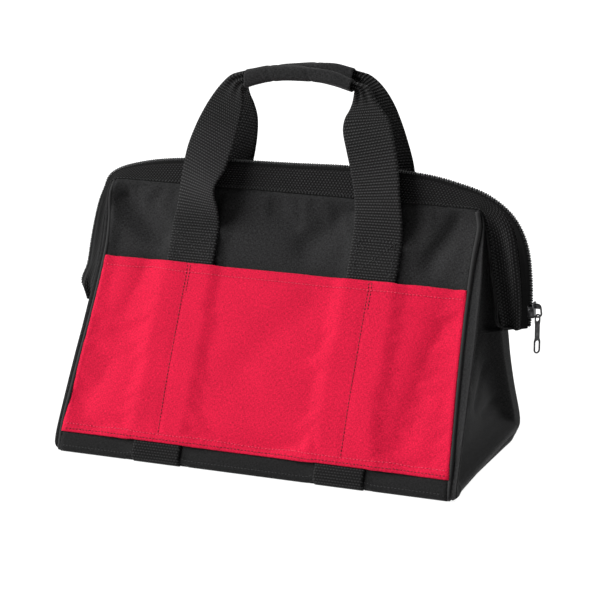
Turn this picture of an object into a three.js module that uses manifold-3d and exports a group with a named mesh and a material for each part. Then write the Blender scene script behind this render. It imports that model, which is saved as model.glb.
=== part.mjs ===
// A wide-mouth tool bag of black cloth with a red pocket front, zipped shut and standing on its base.
// Millimetres. +X is the bag's right as seen from the front, the front faces -Y, +Z is up.
// The origin is the middle of the base, on the surface that the bag stands on.
import * as THREE from "three";
import { mergeVertices } from "three/addons/utils/BufferGeometryUtils.js";
import Module from "manifold-3d";

const wasm = await Module();
wasm.setup();

// Cloth, webbing and clearance
const GAP = 0.3;
const BODY_CLOTH = 1.5;
const GUSSET_CLOTH = 1.2;
const POCKET_CLOTH = 1.4;
const BAND_CLOTH = 1.6;
const TAPE_CLOTH = 1.0;
const SLEEVE_CLOTH = 1.3;
const WEBBING = 1.8;
const WEBBING_WIDTH = 38;
const STRAP_X = 75;

// Base: a stiff bottom with a groove for each strap
const BASE_HALF_WIDTH = 157.5;
const BASE_THICK = 3.4;
const GROOVE_DEPTH = WEBBING + GAP;

// Bottom fold of each wall: its radius, how far out its centre lies, and its half width.
// The front is folded tight over the base, the back is soft.
const FRONT_FOLD = { radius: 3.5, centre: 91.1 };
const BACK_FOLD = { radius: 10, centre: 77.1 };
const FOLD_HALF_WIDTH = 160;

// Height levels of the front
const FOLD_TOP_Z = 16.7;
const POCKET_TOP_Z = 143;
const SEWN_TOP_Z = 172;
const SEAM_Z = 200;

// The mouth closes on the plane y = MOUTH_Y, with the two tape edges this far to each side
const MOUTH_Y = 3;
const TAPE_EDGE = 2.9;
const COIL_RADIUS = 1.6;
const PIPING_RADIUS = 1.7;

// Piping: its inset from the wall's face below and above, then its heights down the seam
// and its angles round the fold
const PIPING_INSET = { low: 0.4, high: -0.9, from: 120, to: 180 };
const PIPING_LEVELS = [190, 170, 150, 126, 100, 70, 40, 22];
const PIPING_ANGLES = [1.8, 1.35, 0.9, 0.45, 0];
// Under the bag the piping moves in beside the base, at these distances behind the fold
const PIPING_UNDER = [16, 32, 48];
const COIL_STEPS = 46;
const CORD_SIDES = 6;

// Front and back walls: depth from the middle and half width at each height
const FRONT_WALL = [
  { z: FOLD_TOP_Z, y: 89.6, half: 160 },
  { z: 60, y: 68.5, half: 156.5 },
  { z: 100, y: 47.5, half: 153.2 },
  { z: POCKET_TOP_Z, y: 25.5, half: 151 },
  { z: SEWN_TOP_Z, y: 13, half: 151.4 },
  { z: 194, y: 5, half: 152.2 },
  { z: SEAM_Z, y: 3, half: 149 },
];
const BACK_WALL = [
  { z: FOLD_TOP_Z, y: 86, half: 160 },
  { z: 60, y: 67, half: 156.5 },
  { z: 100, y: 48.4, half: 153.2 },
  { z: POCKET_TOP_Z, y: 29, half: 151 },
  { z: SEWN_TOP_Z, y: 17.6, half: 151.4 },
  { z: 194, y: 10.6, half: 152.2 },
  { z: SEAM_Z, y: 9, half: 149 },
];
const WALL_BULGE = 3;
// Slope of the walls just above the fold, as a run out for each millimetre of drop
const FOOT_SLOPE = 0.485;
// Parts of the wall's height, from the fold to the seam, over which the dents come in and go out
const DENT_START = 0.12;
const DENT_END = 0.93;

// Soft dents in the front wall: a line from one end to the other, its depth and half width
const FRONT_DENTS = [
  { x1: -146, z1: 196, x2: -92, z2: 150, depth: 3.2, spread: 10 },
  { x1: 144, z1: 196, x2: 116, z2: 152, depth: 2.6, spread: 10 },
  { x1: -30, z1: 192, x2: 25, z2: 160, depth: 1.6, spread: 12 },
  { x1: -76, z1: 120, x2: -118, z2: 62, depth: 2.2, spread: 12 },
  { x1: 60, z1: 118, x2: 20, z2: 58, depth: 1.6, spread: 15 },
  { x1: 132, z1: 120, x2: 112, z2: 50, depth: 1.8, spread: 12 },
];
const BACK_DENTS = [
  { x1: -140, z1: 190, x2: -100, z2: 140, depth: 2.4, spread: 11 },
  { x1: 140, z1: 190, x2: 100, z2: 140, depth: 2.4, spread: 11 },
];

// Columns of the walls, the outermost at the half width, with the strap's columns among them
const STRAP_COLUMNS = [-0.5, -0.25, 0, 0.25, 0.5].map((part) => part * WEBBING_WIDTH);
const HALF_COLUMNS = [19, 38, ...STRAP_COLUMNS.map((offset) => STRAP_X + offset), 112, 131];
const FACE_LEVELS = [36, 58, 80, 102, 123, POCKET_TOP_Z, 158, SEWN_TOP_Z, 186, 194, SEAM_Z];
const FOLD_STEPS = 4;

// Mouth: the band's sewn edge and the zip, from the middle to the lower end of each fin
const MOUTH_RIGHT = [
  { seamX: 0, seamZ: 200, zipX: 0, zipZ: 221.8 },
  { seamX: 40, seamZ: 200, zipX: 41, zipZ: 223.2 },
  { seamX: 80, seamZ: 200, zipX: 82, zipZ: 223 },
  { seamX: 110, seamZ: 200, zipX: 112, zipZ: 221 },
  { seamX: 132, seamZ: 200, zipX: 136, zipZ: 216.3 },
  { seamX: 149.4, seamZ: 200, zipX: 154, zipZ: 211 },
  { seamX: 153.6, seamZ: 197.6, zipX: 168, zipZ: 203 },
  { seamX: 155.4, seamZ: 192, zipX: 177.5, zipZ: 194 },
  { seamX: 158.6, seamZ: 182, zipX: 184.6, zipZ: 182 },
  { seamX: 162, seamZ: 167, zipX: 188.9, zipZ: 168 },
  { seamX: 165.8, seamZ: 150, zipX: 191, zipZ: 150 },
  { seamX: 170, seamZ: 132, zipX: 191.6, zipZ: 132 },
  { seamX: 174.3, seamZ: 114.4, zipX: 190.6, zipZ: 113.8 },
];
const MOUTH_LEFT = [
  { seamX: 0, seamZ: 200, zipX: 0, zipZ: 221.8 },
  { seamX: 40, seamZ: 200, zipX: 41, zipZ: 220.8 },
  { seamX: 80, seamZ: 200, zipX: 83, zipZ: 219.3 },
  { seamX: 110, seamZ: 200, zipX: 112, zipZ: 216.3 },
  { seamX: 132, seamZ: 200, zipX: 132, zipZ: 212.2 },
  { seamX: 149.4, seamZ: 200, zipX: 147.4, zipZ: 207.2 },
  { seamX: 153.6, seamZ: 197.6, zipX: 156, zipZ: 200.6 },
  { seamX: 155, seamZ: 192, zipX: 160.4, zipZ: 190.5 },
  { seamX: 156.6, seamZ: 181, zipX: 165, zipZ: 179 },
  { seamX: 158.6, seamZ: 165, zipX: 169.6, zipZ: 162 },
  { seamX: 161, seamZ: 149, zipX: 173.4, zipZ: 146 },
  { seamX: 164.5, seamZ: 130, zipX: 177.6, zipZ: 127 },
  { seamX: 168.6, seamZ: 115, zipX: 184.6, zipZ: 110 },
  { seamX: 169, seamZ: 103, zipX: 180.6, zipZ: 99.4 },
];
const CORNER_Z = 199;
const TAPE_START = 0.79;
const BAND_END = 0.775;
const SEAM_CLEARANCE = 0.9;
const BAND_PARTS = [0, 0.22, 0.4, 0.58, BAND_END];
const TAPE_PARTS = [TAPE_START, 1];
// Soft fold down the fin's band, and how far below the seam it comes in
const FIN_FOLD = 1.8;
const FIN_FOLD_FADE = { from: 2, to: 30 };

// Gusset below the fin: how far its edge rolls out and its middle is drawn in at each height,
// and how much of the corner's drop the roll takes
const GUSSET_ROWS = [
  { z: 6.4, roll: 4.4, recess: 1.6, drop: 1 },
  { z: 9.4, roll: 5.2, recess: 1, drop: 0.55 },
  { z: 15, roll: 5.2, recess: 2, drop: 0.15 },
  { z: 26, roll: 5, recess: 5, drop: 0 },
  { z: 46, roll: 4.8, recess: 10, drop: 0 },
  { z: 72, roll: 4.6, recess: 13, drop: 0 },
  { z: 92, roll: 4.4, recess: 14, drop: 0 },
];
const SHELF_ROW = { roll: 4.3, recess: 14, drop: 0 };
// Columns of a gusset row from its roll to the middle: part of the depth, and part of the recess
const RECESS_COLUMNS = [
  { depth: 0.86, recess: 0.5 },
  { depth: 0.45, recess: 0.9 },
  { depth: 0.04, recess: 1 },
];
// Rolled edge: its inset behind the wall's face, its depth and its roll, at each height
const ROLL_EDGE = [
  { z: 0, inset: 3.8, depth: 10, roll: 4.6 },
  { z: 115, inset: 3.5, depth: 10.5, roll: 4.2 },
  { z: 150, inset: 3.2, depth: 8, roll: 3.8 },
  { z: 180, inset: 2.2, depth: 4.4, roll: 2.6 },
  { z: 198, inset: 1.1, depth: 1.6, roll: 1.4 },
];
// Section of the rolled edge, from the sewn edge to its inner fold: parts of its roll and of its depth
const ROLL_SECTION = [
  { roll: 0, depth: 0 },
  { roll: 0.85, depth: 0.35 },
  { roll: 1, depth: 0.75 },
  { roll: 0.5, depth: 1 },
];
// Below the fin the roll is fuller at some corners of the bag, and drops over the bottom at one
const ROLL_CORNERS = {
  left: { front: { fullness: 1.25, drop: 0 }, back: { fullness: 1, drop: 0 } },
  right: { front: { fullness: 1, drop: 3.6 }, back: { fullness: 0.6, drop: 0 } },
};
const FULLNESS_FADE = { from: 110, to: 150 };
const SHELF_DROP = 2.6;
const FIN_HOLLOW = 2.5;
const FIN_HOLLOW_WIDTH = 12;
const FIN_COLUMNS = [0.34, 0.68, 1];

// The four corners of the bag, each with its wall, its fold and its roll
const CORNERS = {};
for (const side of ["left", "right"]) {
  const { front, back } = ROLL_CORNERS[side];
  CORNERS[side] = {
    front: { facing: -1, wall: FRONT_WALL, fold: FRONT_FOLD, ...front },
    back: { facing: 1, wall: BACK_WALL, fold: BACK_FOLD, ...back },
  };
}

// Straps above the sewn part: path of each leg up to the grip, its turn about the leg and its width
const FRONT_LEG_RIGHT = [
  { x: 75.4, y: -13.5, z: 186, turn: -4, width: 38 },
  { x: 73.6, y: -11.5, z: 205, turn: -9, width: 38 },
  { x: 70.6, y: -9, z: 224, turn: -4, width: 38 },
  { x: 66, y: -7, z: 243, turn: 0, width: 38 },
  { x: 62.4, y: -5.4, z: 258, turn: 0, width: 38 },
  { x: 61, y: -4.4, z: 270, turn: 0, width: 33 },
  { x: 59.8, y: -4, z: 279, turn: 0, width: 22 },
  { x: 57.4, y: -4, z: 284.6, turn: 0, width: 13 },
];
const FRONT_LEG_LEFT = [
  { x: -74, y: -14, z: 186, turn: -14, width: 38 },
  { x: -74.6, y: -12, z: 205, turn: -26, width: 38 },
  { x: -68.6, y: -9, z: 224, turn: -14, width: 38 },
  { x: -61.6, y: -7, z: 243, turn: -6, width: 36 },
  { x: -55.4, y: -5.4, z: 258, turn: 0, width: 32 },
  { x: -51, y: -4.4, z: 269, turn: 0, width: 27 },
  { x: -47.8, y: -4, z: 278, turn: 0, width: 20 },
  { x: -44.2, y: -4, z: 284.6, turn: 0, width: 13 },
];
const BACK_LEG_RIGHT = [
  { x: 75, y: 20, z: 186, turn: 4, width: 38 },
  { x: 74.6, y: 17.6, z: 205, turn: 4, width: 38 },
  { x: 73, y: 16, z: 224, turn: 2, width: 38 },
  { x: 68.4, y: 14, z: 243, turn: 0, width: 38 },
  { x: 64.4, y: 12.8, z: 258, turn: 0, width: 36 },
  { x: 61.6, y: 12, z: 270, turn: 0, width: 31 },
  { x: 58.2, y: 11.6, z: 280.6, turn: 0, width: 23 },
  { x: 53.4, y: 11.6, z: 288.6, turn: 0, width: 14 },
];
const BACK_LEG_LEFT = [
  { x: -73, y: 20, z: 186, turn: 6, width: 38 },
  { x: -67, y: 17.6, z: 205, turn: 8, width: 38 },
  { x: -59.6, y: 16, z: 224, turn: 6, width: 38 },
  { x: -55, y: 14, z: 243, turn: 2, width: 38 },
  { x: -53, y: 12.8, z: 257, turn: 0, width: 36 },
  { x: -52, y: 12, z: 268, turn: 0, width: 29 },
  { x: -50, y: 11.6, z: 275.6, turn: 0, width: 20 },
  { x: -47, y: 11.6, z: 282, turn: 0, width: 12 },
];
const GRIP_FRONT = [
  { x: -39, y: -4, z: 287, rise: 6.7 },
  { x: -18, y: -4, z: 292.4, rise: 6.3 },
  { x: 8, y: -4, z: 294.4, rise: 5.9 },
  { x: 34, y: -4, z: 292.2, rise: 5.7 },
  { x: 53, y: -4, z: 287, rise: 5.7 },
];
const GRIP_BACK = [
  { x: -43, y: 11.6, z: 285, rise: 6.4 },
  { x: -20, y: 11.6, z: 290.6, rise: 6.2 },
  { x: 4, y: 11.6, z: 294.2, rise: 6 },
  { x: 28, y: 11.6, z: 295.2, rise: 6 },
  { x: 48.5, y: 11.6, z: 291.6, rise: 6 },
];
const GRIP_DEPTH = 6.4;
const GRIP_STEPS = 9;
const SLEEVE_SIDES = 12;
const SLEEVE_INSET = 3;
const BUNDLE_PART = 0.92;
// Thickness of the gathered strap across its width, as a part of its middle
const BUNDLE_ROUND = [0.4, 0.8, 1, 0.8, 0.4];

// Zip slider and pull, near the right end
const SLIDER_BOTTOM_Z = 120;
const SLIDER_LENGTH = 12;
const SLIDER_HALF_WIDTH = 3.7;
const SLIDER_WALL = 1.3;
const SLIDER_LIP = 1.8;
const SLIDER_CHAMFER = 0.8;
const SLIDER_X = 195.2;
const BAIL_X = 197.3;
const BAIL_Z = 123.6;
const BAIL_RADIUS = 2.9;
const BAIL_WIRE = 0.75;
const BAIL_RISE = 6.6;
const BAIL_ANGLES = [-90, -60, -30, 0, 30, 60];
const BAIL_ROOT = 0.4;
const BAIL_SIDES = 8;
const BAIL_STEPS = 16;
const PULL_THICK = 1.1;
const PULL_TURN = THREE.MathUtils.degToRad(35);
const PULL_LENGTH = 31;
const PULL_SEGMENTS = 5;
const EYE_WIDTH = 5.2;
const EYE_HOLE = { width: 3.2, height: 4.6 };
const SHANK_WIDTH = 4.4;
const TIP_WIDTH = 6;
const TIP_HOLE = { width: 3.4, height: 9 };
const EYE_RIM = 1.2;
const EYE_CLEARANCE = 0.55;

// Looks of the pieces
const LOOKS = {
  black_cloth: { color: 0x2f2f31, roughness: 0.85, metalness: 0 },
  red_cloth: { color: 0xe02a4c, roughness: 0.8, metalness: 0 },
  webbing: { color: 0x2a2a2c, roughness: 0.9, metalness: 0 },
  band: { color: 0x262628, roughness: 0.9, metalness: 0 },
  piping: { color: 0x2c2c2e, roughness: 0.7, metalness: 0 },
  zip: { color: 0x232325, roughness: 0.6, metalness: 0 },
  metal: { color: 0x3a3b3d, roughness: 0.4, metalness: 0.9 },
};

const bag = new THREE.Group();

function addPiece(name, look, geometry) {
  const mesh = new THREE.Mesh(geometry, new THREE.MeshStandardMaterial(LOOKS[look]));
  mesh.name = name;
  bag.add(mesh);
}

// Smooth value of one column of a table at a key, through the table's rows
function valueAt(table, key, at, column) {
  const last = table.length - 1;
  if (at <= table[0][key]) return table[0][column];
  if (at >= table[last][key]) return table[last][column];
  let i = 0;
  while (table[i + 1][key] < at) i += 1;
  const slope = (a, b) => (table[b][column] - table[a][column]) / (table[b][key] - table[a][key]);
  const span = table[i + 1][key] - table[i][key];
  const start = i > 0 ? slope(i - 1, i + 1) : slope(0, 1);
  const end = i + 2 <= last ? slope(i, i + 2) : slope(i, i + 1);
  const t = (at - table[i][key]) / span;
  const rise = table[i + 1][column] - table[i][column];
  const cubic = start * span * t * (1 - t) ** 2 - end * span * t * t * (1 - t);
  return table[i][column] + rise * t * t * (3 - 2 * t) + cubic;
}

// Closed solid between two grids of points with the same rows and columns.
// A cell that present() leaves out is a hole in the sheet.
function slab(outer, inner, present = () => true) {
  const rows = outer.length;
  const columns = outer[0].length;
  const positions = [];
  for (const grid of [outer, inner]) {
    for (const row of grid) {
      for (const point of row) positions.push(point.x, point.y, point.z);
    }
  }
  const index = [];
  const at = (side, r, c) => side * rows * columns + r * columns + c;
  const isCell = (r, c) => r >= 0 && c >= 0 && r < rows - 1 && c < columns - 1 && present(r, c);
  const quad = (a, b, c, d) => index.push(a, b, c, a, c, d);
  const wall = (r1, c1, r2, c2) => quad(at(0, r1, c1), at(1, r1, c1), at(1, r2, c2), at(0, r2, c2));
  for (let r = 0; r < rows - 1; r += 1) {
    for (let c = 0; c < columns - 1; c += 1) {
      if (!isCell(r, c)) continue;
      quad(at(0, r, c), at(0, r, c + 1), at(0, r + 1, c + 1), at(0, r + 1, c));
      quad(at(1, r, c), at(1, r + 1, c), at(1, r + 1, c + 1), at(1, r, c + 1));
      if (!isCell(r - 1, c)) wall(r, c, r, c + 1);
      if (!isCell(r, c + 1)) wall(r, c + 1, r + 1, c + 1);
      if (!isCell(r + 1, c)) wall(r + 1, c + 1, r + 1, c);
      if (!isCell(r, c - 1)) wall(r + 1, c, r, c);
    }
  }
  const geometry = new THREE.BufferGeometry();
  geometry.setAttribute("position", new THREE.Float32BufferAttribute(positions, 3));
  geometry.setIndex(index);
  return facingOut(geometry);
}

// Turns every face round if the solid is inside out
function facingOut(geometry) {
  const point = geometry.attributes.position;
  const index = Array.from(geometry.index.array);
  const corner = [new THREE.Vector3(), new THREE.Vector3(), new THREE.Vector3()];
  let volume = 0;
  for (let i = 0; i < index.length; i += 3) {
    corner.forEach((vector, k) => vector.fromBufferAttribute(point, index[i + k]));
    volume += corner[0].dot(corner[1].clone().cross(corner[2]));
  }
  if (volume < 0) geometry.setIndex(index.reverse());
  const used = geometry.toNonIndexed();
  const merged = mergeVertices(used);
  merged.computeVertexNormals();
  return merged;
}

// Unit normals of a grid, averaged over the cells that are present
function gridNormals(grid, present = () => true) {
  const normals = grid.map((row) => row.map(() => new THREE.Vector3()));
  for (let r = 0; r < grid.length - 1; r += 1) {
    for (let c = 0; c < grid[0].length - 1; c += 1) {
      if (!present(r, c)) continue;
      const corners = [grid[r][c], grid[r][c + 1], grid[r + 1][c + 1], grid[r + 1][c]];
      const across = corners[2].clone().sub(corners[0]);
      const normal = across.cross(corners[3].clone().sub(corners[1])).normalize();
      for (const [row, column] of [[r, c], [r, c + 1], [r + 1, c + 1], [r + 1, c]]) {
        normals[row][column].add(normal);
      }
    }
  }
  normals.forEach((row) => row.forEach((normal) => normal.normalize()));
  return normals;
}

// The grid moved along its normals by a distance, or by a distance for each row and column
function offsetGrid(grid, normals, distance) {
  const far = typeof distance === "function" ? distance : () => distance;
  return grid.map((row, r) =>
    row.map((point, c) => point.clone().addScaledVector(normals[r][c], far(r, c))),
  );
}

function dentDepth(dents, x, z) {
  let depth = 0;
  for (const dent of dents) {
    const line = new THREE.Vector2(dent.x2 - dent.x1, dent.z2 - dent.z1);
    const offset = new THREE.Vector2(x - dent.x1, z - dent.z1);
    const part = THREE.MathUtils.clamp(offset.dot(line) / line.lengthSq(), 0, 1);
    const away = offset.addScaledVector(line, -part).length();
    depth += dent.depth * Math.exp(-((away / dent.spread) ** 2));
  }
  return depth;
}

// Front and back walls, seen as one kind: facing is -1 for the front and +1 for the back.
// The first rows run round the bottom fold, the others up the face.
function wallLevels() {
  const foldEnd = Math.PI / 2 + Math.atan(FOOT_SLOPE);
  const fold = [];
  for (let i = 0; i < FOLD_STEPS; i += 1) fold.push({ angle: (foldEnd * i) / FOLD_STEPS });
  const face = [FOLD_TOP_Z, ...FACE_LEVELS].map((z) => ({ z }));
  return [...fold, ...face];
}
const LEVELS = wallLevels();
const rowAtHeight = (z) => LEVELS.findIndex((level) => level.z === z);

function wallGrid(facing, wall, fold, dents) {
  return LEVELS.map((level) => {
    const onFold = level.angle !== undefined;
    const half = onFold ? FOLD_HALF_WIDTH : valueAt(wall, "z", level.z, "half");
    const inner = HALF_COLUMNS.filter((x) => x < half);
    const columns = [-half, ...inner.slice().reverse().map((x) => -x), 0, ...inner, half];
    return columns.map((x) => {
      if (onFold) {
        const out = fold.centre + fold.radius * Math.sin(level.angle);
        const z = GROOVE_DEPTH + fold.radius * (1 - Math.cos(level.angle));
        return new THREE.Vector3(x, facing * out, z);
      }
      const rise = (level.z - FOLD_TOP_Z) / (SEAM_Z - FOLD_TOP_Z);
      const bulge = WALL_BULGE * (1 - (x / half) ** 2) * Math.sin(Math.PI * rise);
      const comesIn = THREE.MathUtils.smoothstep(rise, 0, DENT_START);
      const goesOut = 1 - THREE.MathUtils.smoothstep(rise, DENT_END, 1);
      const dent = comesIn * goesOut * dentDepth(dents, x, level.z);
      const out = valueAt(wall, "z", level.z, "y") + bulge - dent;
      return new THREE.Vector3(x, facing * out, level.z);
    });
  });
}

function makeWall(facing, wall, fold, dents) {
  const grid = wallGrid(facing, wall, fold, dents);
  const normals = gridNormals(grid);
  if (facing > 0) normals.forEach((row) => row.forEach((normal) => normal.negate()));
  LEVELS.forEach(({ angle }, r) => {
    if (angle === undefined) return;
    normals[r].forEach((normal) => normal.set(0, facing * Math.sin(angle), -Math.cos(angle)));
  });
  return { grid, normals, facing, fold };
}

const front = makeWall(-1, FRONT_WALL, FRONT_FOLD, FRONT_DENTS);
const back = makeWall(1, BACK_WALL, BACK_FOLD, BACK_DENTS);
const strapFirstColumn = {
  left: front.grid[0].findIndex((point) => Math.abs(point.x + STRAP_X + WEBBING_WIDTH / 2) < GAP),
  right: front.grid[0].findIndex((point) => Math.abs(point.x - STRAP_X + WEBBING_WIDTH / 2) < GAP),
};

function makePanels() {
  for (const [name, wall] of [["front_panel", front], ["back_panel", back]]) {
    addPiece(name, "black_cloth", slab(wall.grid, offsetGrid(wall.grid, wall.normals, -BODY_CLOTH)));
  }
}

// Base: a plate with a groove under each strap, drawn across and run from front to back
function makeBase() {
  const shape = new THREE.Shape();
  const half = WEBBING_WIDTH / 2 + GAP;
  shape.moveTo(-BASE_HALF_WIDTH, 0);
  for (const x of [-STRAP_X, STRAP_X]) {
    shape.lineTo(x - half, 0);
    shape.lineTo(x - half, GROOVE_DEPTH);
    shape.lineTo(x + half, GROOVE_DEPTH);
    shape.lineTo(x + half, 0);
  }
  shape.lineTo(BASE_HALF_WIDTH, 0);
  shape.lineTo(BASE_HALF_WIDTH, BASE_THICK);
  shape.lineTo(-BASE_HALF_WIDTH, BASE_THICK);
  const depth = FRONT_FOLD.centre + BACK_FOLD.centre - 2 * GAP;
  const plate = new THREE.ExtrudeGeometry(shape, { depth, bevelEnabled: false });
  plate.rotateX(Math.PI / 2);
  plate.translate(0, BACK_FOLD.centre - GAP, 0);
  addPiece("base_panel", "black_cloth", plate);
}

// Red pocket panel: lies on the front wall and rises over each strap
function makePocket() {
  const first = rowAtHeight(FOLD_TOP_Z);
  const last = rowAtHeight(POCKET_TOP_Z);
  const grid = front.grid.slice(first, last + 1);
  const normals = front.normals.slice(first, last + 1);
  const overStrap = (c) =>
    [strapFirstColumn.left, strapFirstColumn.right].some(
      (start) => c >= start && c < start + STRAP_COLUMNS.length,
    );
  const lift = (r, c) => (overStrap(c) ? 2 * GAP + WEBBING : GAP);
  const inner = offsetGrid(grid, normals, lift);
  const outer = offsetGrid(grid, normals, (r, c) => lift(r, c) + POCKET_CLOTH);
  addPiece("pocket_panel", "red_cloth", slab(outer, inner));
}

// The rolled edge of the gusset behind a wall's side edge at a height.
// The columns run from the sewn edge, over the roll, to the roll's inner fold.
function rolledEdge(corner, z, roll) {
  const half = z < FOLD_TOP_Z ? FOLD_HALF_WIDTH : valueAt(corner.wall, "z", z, "half");
  const depth = valueAt(ROLL_EDGE, "z", z, "depth");
  const start = half + GAP + GUSSET_CLOTH;
  const face = edgeDepth(corner, z, valueAt(ROLL_EDGE, "z", z, "inset"));
  const fade = THREE.MathUtils.smoothstep(z, FULLNESS_FADE.from, FULLNESS_FADE.to);
  const reach = roll * THREE.MathUtils.lerp(corner.fullness, 1, fade);
  return ROLL_SECTION.map((part) => {
    const y = corner.facing * (face - part.depth * depth);
    return new THREE.Vector3(start + part.roll * reach, y, z);
  });
}

const restingRoll = (z) => valueAt(ROLL_EDGE, "z", z, "roll");

// Depth of the wall's side edge at a height, moved in by an inset, round the bottom fold too
function edgeDepth(corner, z, inset) {
  const { wall, fold } = corner;
  if (z >= FOLD_TOP_Z) return valueAt(wall, "z", z, "y") - inset;
  const onSlope = wall[0].y + FOOT_SLOPE * (FOLD_TOP_Z - z) - inset * Math.hypot(1, FOOT_SLOPE);
  const radius = Math.max(fold.radius - inset, GAP);
  const below = THREE.MathUtils.clamp((GROOVE_DEPTH + fold.radius - z) / radius, -1, 1);
  const onFold = fold.centre + radius * Math.sqrt(1 - below * below);
  return below > 0 ? onFold : Math.min(onSlope, fold.centre + radius);
}

function tapeEdge(facing, station) {
  return new THREE.Vector3(station.zipX, MOUTH_Y + facing * TAPE_EDGE, station.zipZ);
}

// Where the band is sewn on: the wall's top edge, then a line down the fin's face
function bandSeam(corner, station) {
  const { facing, wall } = corner;
  if (station.seamZ >= CORNER_Z) {
    return new THREE.Vector3(station.seamX, facing * valueAt(wall, "z", SEAM_Z, "y"), station.seamZ);
  }
  const fold = rolledEdge(corner, station.seamZ, restingRoll(station.seamZ)).at(-1);
  const zip = tapeEdge(facing, station);
  const part = (station.seamX - fold.x) / (zip.x - fold.x);
  const y = THREE.MathUtils.lerp(fold.y, zip.y, THREE.MathUtils.clamp(part, 0, 1));
  return new THREE.Vector3(station.seamX, y, station.seamZ);
}

// Half of one row of the gusset below the fin, from the sewn edge to the middle
function lowerRow(corner, row) {
  const edge = rolledEdge(corner, row.z, row.roll);
  const fold = edge.at(-1);
  edge.slice(1, -1).forEach((point) => point.setZ(row.z - row.drop * corner.drop));
  const middle = RECESS_COLUMNS.map((part) => {
    const x = edge[0].x - part.recess * row.recess;
    return new THREE.Vector3(x, fold.y * part.depth, row.z);
  });
  return [...edge, ...middle];
}

// The fin's lower crease, out from the rolled edge to the end of the zip
function creaseRow(corner, station) {
  const z = station.seamZ - SHELF_DROP;
  const edge = rolledEdge(corner, z, restingRoll(z));
  const tip = tapeEdge(corner.facing, station).setZ(z);
  tip.x -= 2 * COIL_RADIUS;
  return [...edge, ...FIN_COLUMNS.map((part) => edge.at(-1).clone().lerp(tip, part))];
}

// Half of one row of the fin's face, from the sewn edge to the band, hollow beside the roll
function finRow(corner, station) {
  const edge = rolledEdge(corner, station.seamZ, restingRoll(station.seamZ));
  const fold = edge.at(-1);
  const seam = bandSeam(corner, station);
  const width = Math.min(1, fold.distanceTo(seam) / FIN_HOLLOW_WIDTH);
  const line = FIN_COLUMNS.map((part) => fold.clone().lerp(seam, part));
  line[0].y -= corner.facing * FIN_HOLLOW * width;
  line[1].y -= 0.5 * corner.facing * FIN_HOLLOW * width;
  return [...edge, ...line];
}

function gussetGrid(corners, side, mouth) {
  const fin = mouth.filter((station) => station.seamZ < CORNER_Z).reverse();
  const shelf = { ...SHELF_ROW, z: fin[0].seamZ - 2 * SHELF_DROP };
  const rowOf = (makeHalf, item) => {
    const near = makeHalf(corners.front, item);
    const far = makeHalf(corners.back, item);
    return [...near, ...far.reverse()].map((point) => point.setX(side * point.x));
  };
  return [
    ...GUSSET_ROWS.map((row) => rowOf(lowerRow, row)),
    rowOf(lowerRow, shelf),
    rowOf(creaseRow, fin[0]),
    ...fin.map((station) => rowOf(finRow, station)),
  ];
}

function makeGusset(name, corners, side, mouth) {
  const grid = gussetGrid(corners, side, mouth);
  const slit = grid[0].length / 2 - 1;
  const present = (r, c) => r <= GUSSET_ROWS.length || c !== slit;
  const normals = gridNormals(grid, present);
  if (side < 0) normals.forEach((row) => row.forEach((normal) => normal.negate()));
  addPiece(name, "black_cloth", slab(grid, offsetGrid(grid, normals, -GUSSET_CLOTH), present));
}

// Piping: a cord along the wall's side edge, round both bottom corners and up the other wall
function makePiping(name, corners, side) {
  const { low, high, from, to } = PIPING_INSET;
  const inset = (z) => THREE.MathUtils.lerp(low, high, THREE.MathUtils.smoothstep(z, from, to));
  const edgePoint = (corner, z) => {
    const half = valueAt(corner.wall, "z", z, "half");
    return new THREE.Vector3(half + GAP + PIPING_RADIUS, corner.facing * edgeDepth(corner, z, inset(z)), z);
  };
  const cornerPoint = ({ facing, fold }, angle) => {
    const radius = fold.radius - low;
    const out = fold.centre + radius * Math.sin(angle);
    const z = GROOVE_DEPTH + fold.radius - radius * Math.cos(angle);
    return new THREE.Vector3(FOLD_HALF_WIDTH + GAP + PIPING_RADIUS, facing * out, z);
  };
  const underPoint = ({ facing, fold }, behind) => {
    const x = BASE_HALF_WIDTH + 2 * GAP + PIPING_RADIUS;
    return new THREE.Vector3(x, facing * (fold.centre - behind), GROOVE_DEPTH + low);
  };
  const down = (corner) => [
    ...PIPING_LEVELS.map((z) => edgePoint(corner, z)),
    ...PIPING_ANGLES.map((angle) => cornerPoint(corner, angle)),
    ...PIPING_UNDER.map((behind) => underPoint(corner, behind)),
  ];
  const points = [...down(corners.front), ...down(corners.back).reverse()];
  points.forEach((point) => point.setX(side * point.x));
  addPiece(name, "piping", cordThrough(points, PIPING_RADIUS, CORD_SIDES, new THREE.Vector3(1, 0, 0)));
}

// A cord with one ring at each point, each ring set out from a reference direction across the path
function cordThrough(points, radius, sides, reference) {
  const last = points.length - 1;
  const positions = [];
  points.forEach((point, i) => {
    const along = points[Math.min(i + 1, last)].clone().sub(points[Math.max(i - 1, 0)]).normalize();
    const across = reference.clone().projectOnPlane(along).normalize();
    const up = along.cross(across);
    for (let k = 0; k < sides; k += 1) {
      const angle = (2 * Math.PI * k) / sides;
      const rim = point.clone().addScaledVector(across, radius * Math.cos(angle));
      positions.push(...rim.addScaledVector(up, radius * Math.sin(angle)));
    }
  });
  const index = [];
  for (let i = 0; i < last; i += 1) {
    for (let k = 0; k < sides; k += 1) {
      const next = (k + 1) % sides;
      const [a, b, c, d] = [i * sides + k, i * sides + next, (i + 1) * sides + next, (i + 1) * sides + k];
      index.push(a, b, c, a, c, d);
    }
  }
  for (let k = 1; k < sides - 1; k += 1) {
    index.push(0, k + 1, k);
    index.push(last * sides, last * sides + k, last * sides + k + 1);
  }
  const geometry = new THREE.BufferGeometry();
  geometry.setAttribute("position", new THREE.Float32BufferAttribute(positions, 3));
  geometry.setIndex(index);
  return facingOut(geometry);
}

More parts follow.
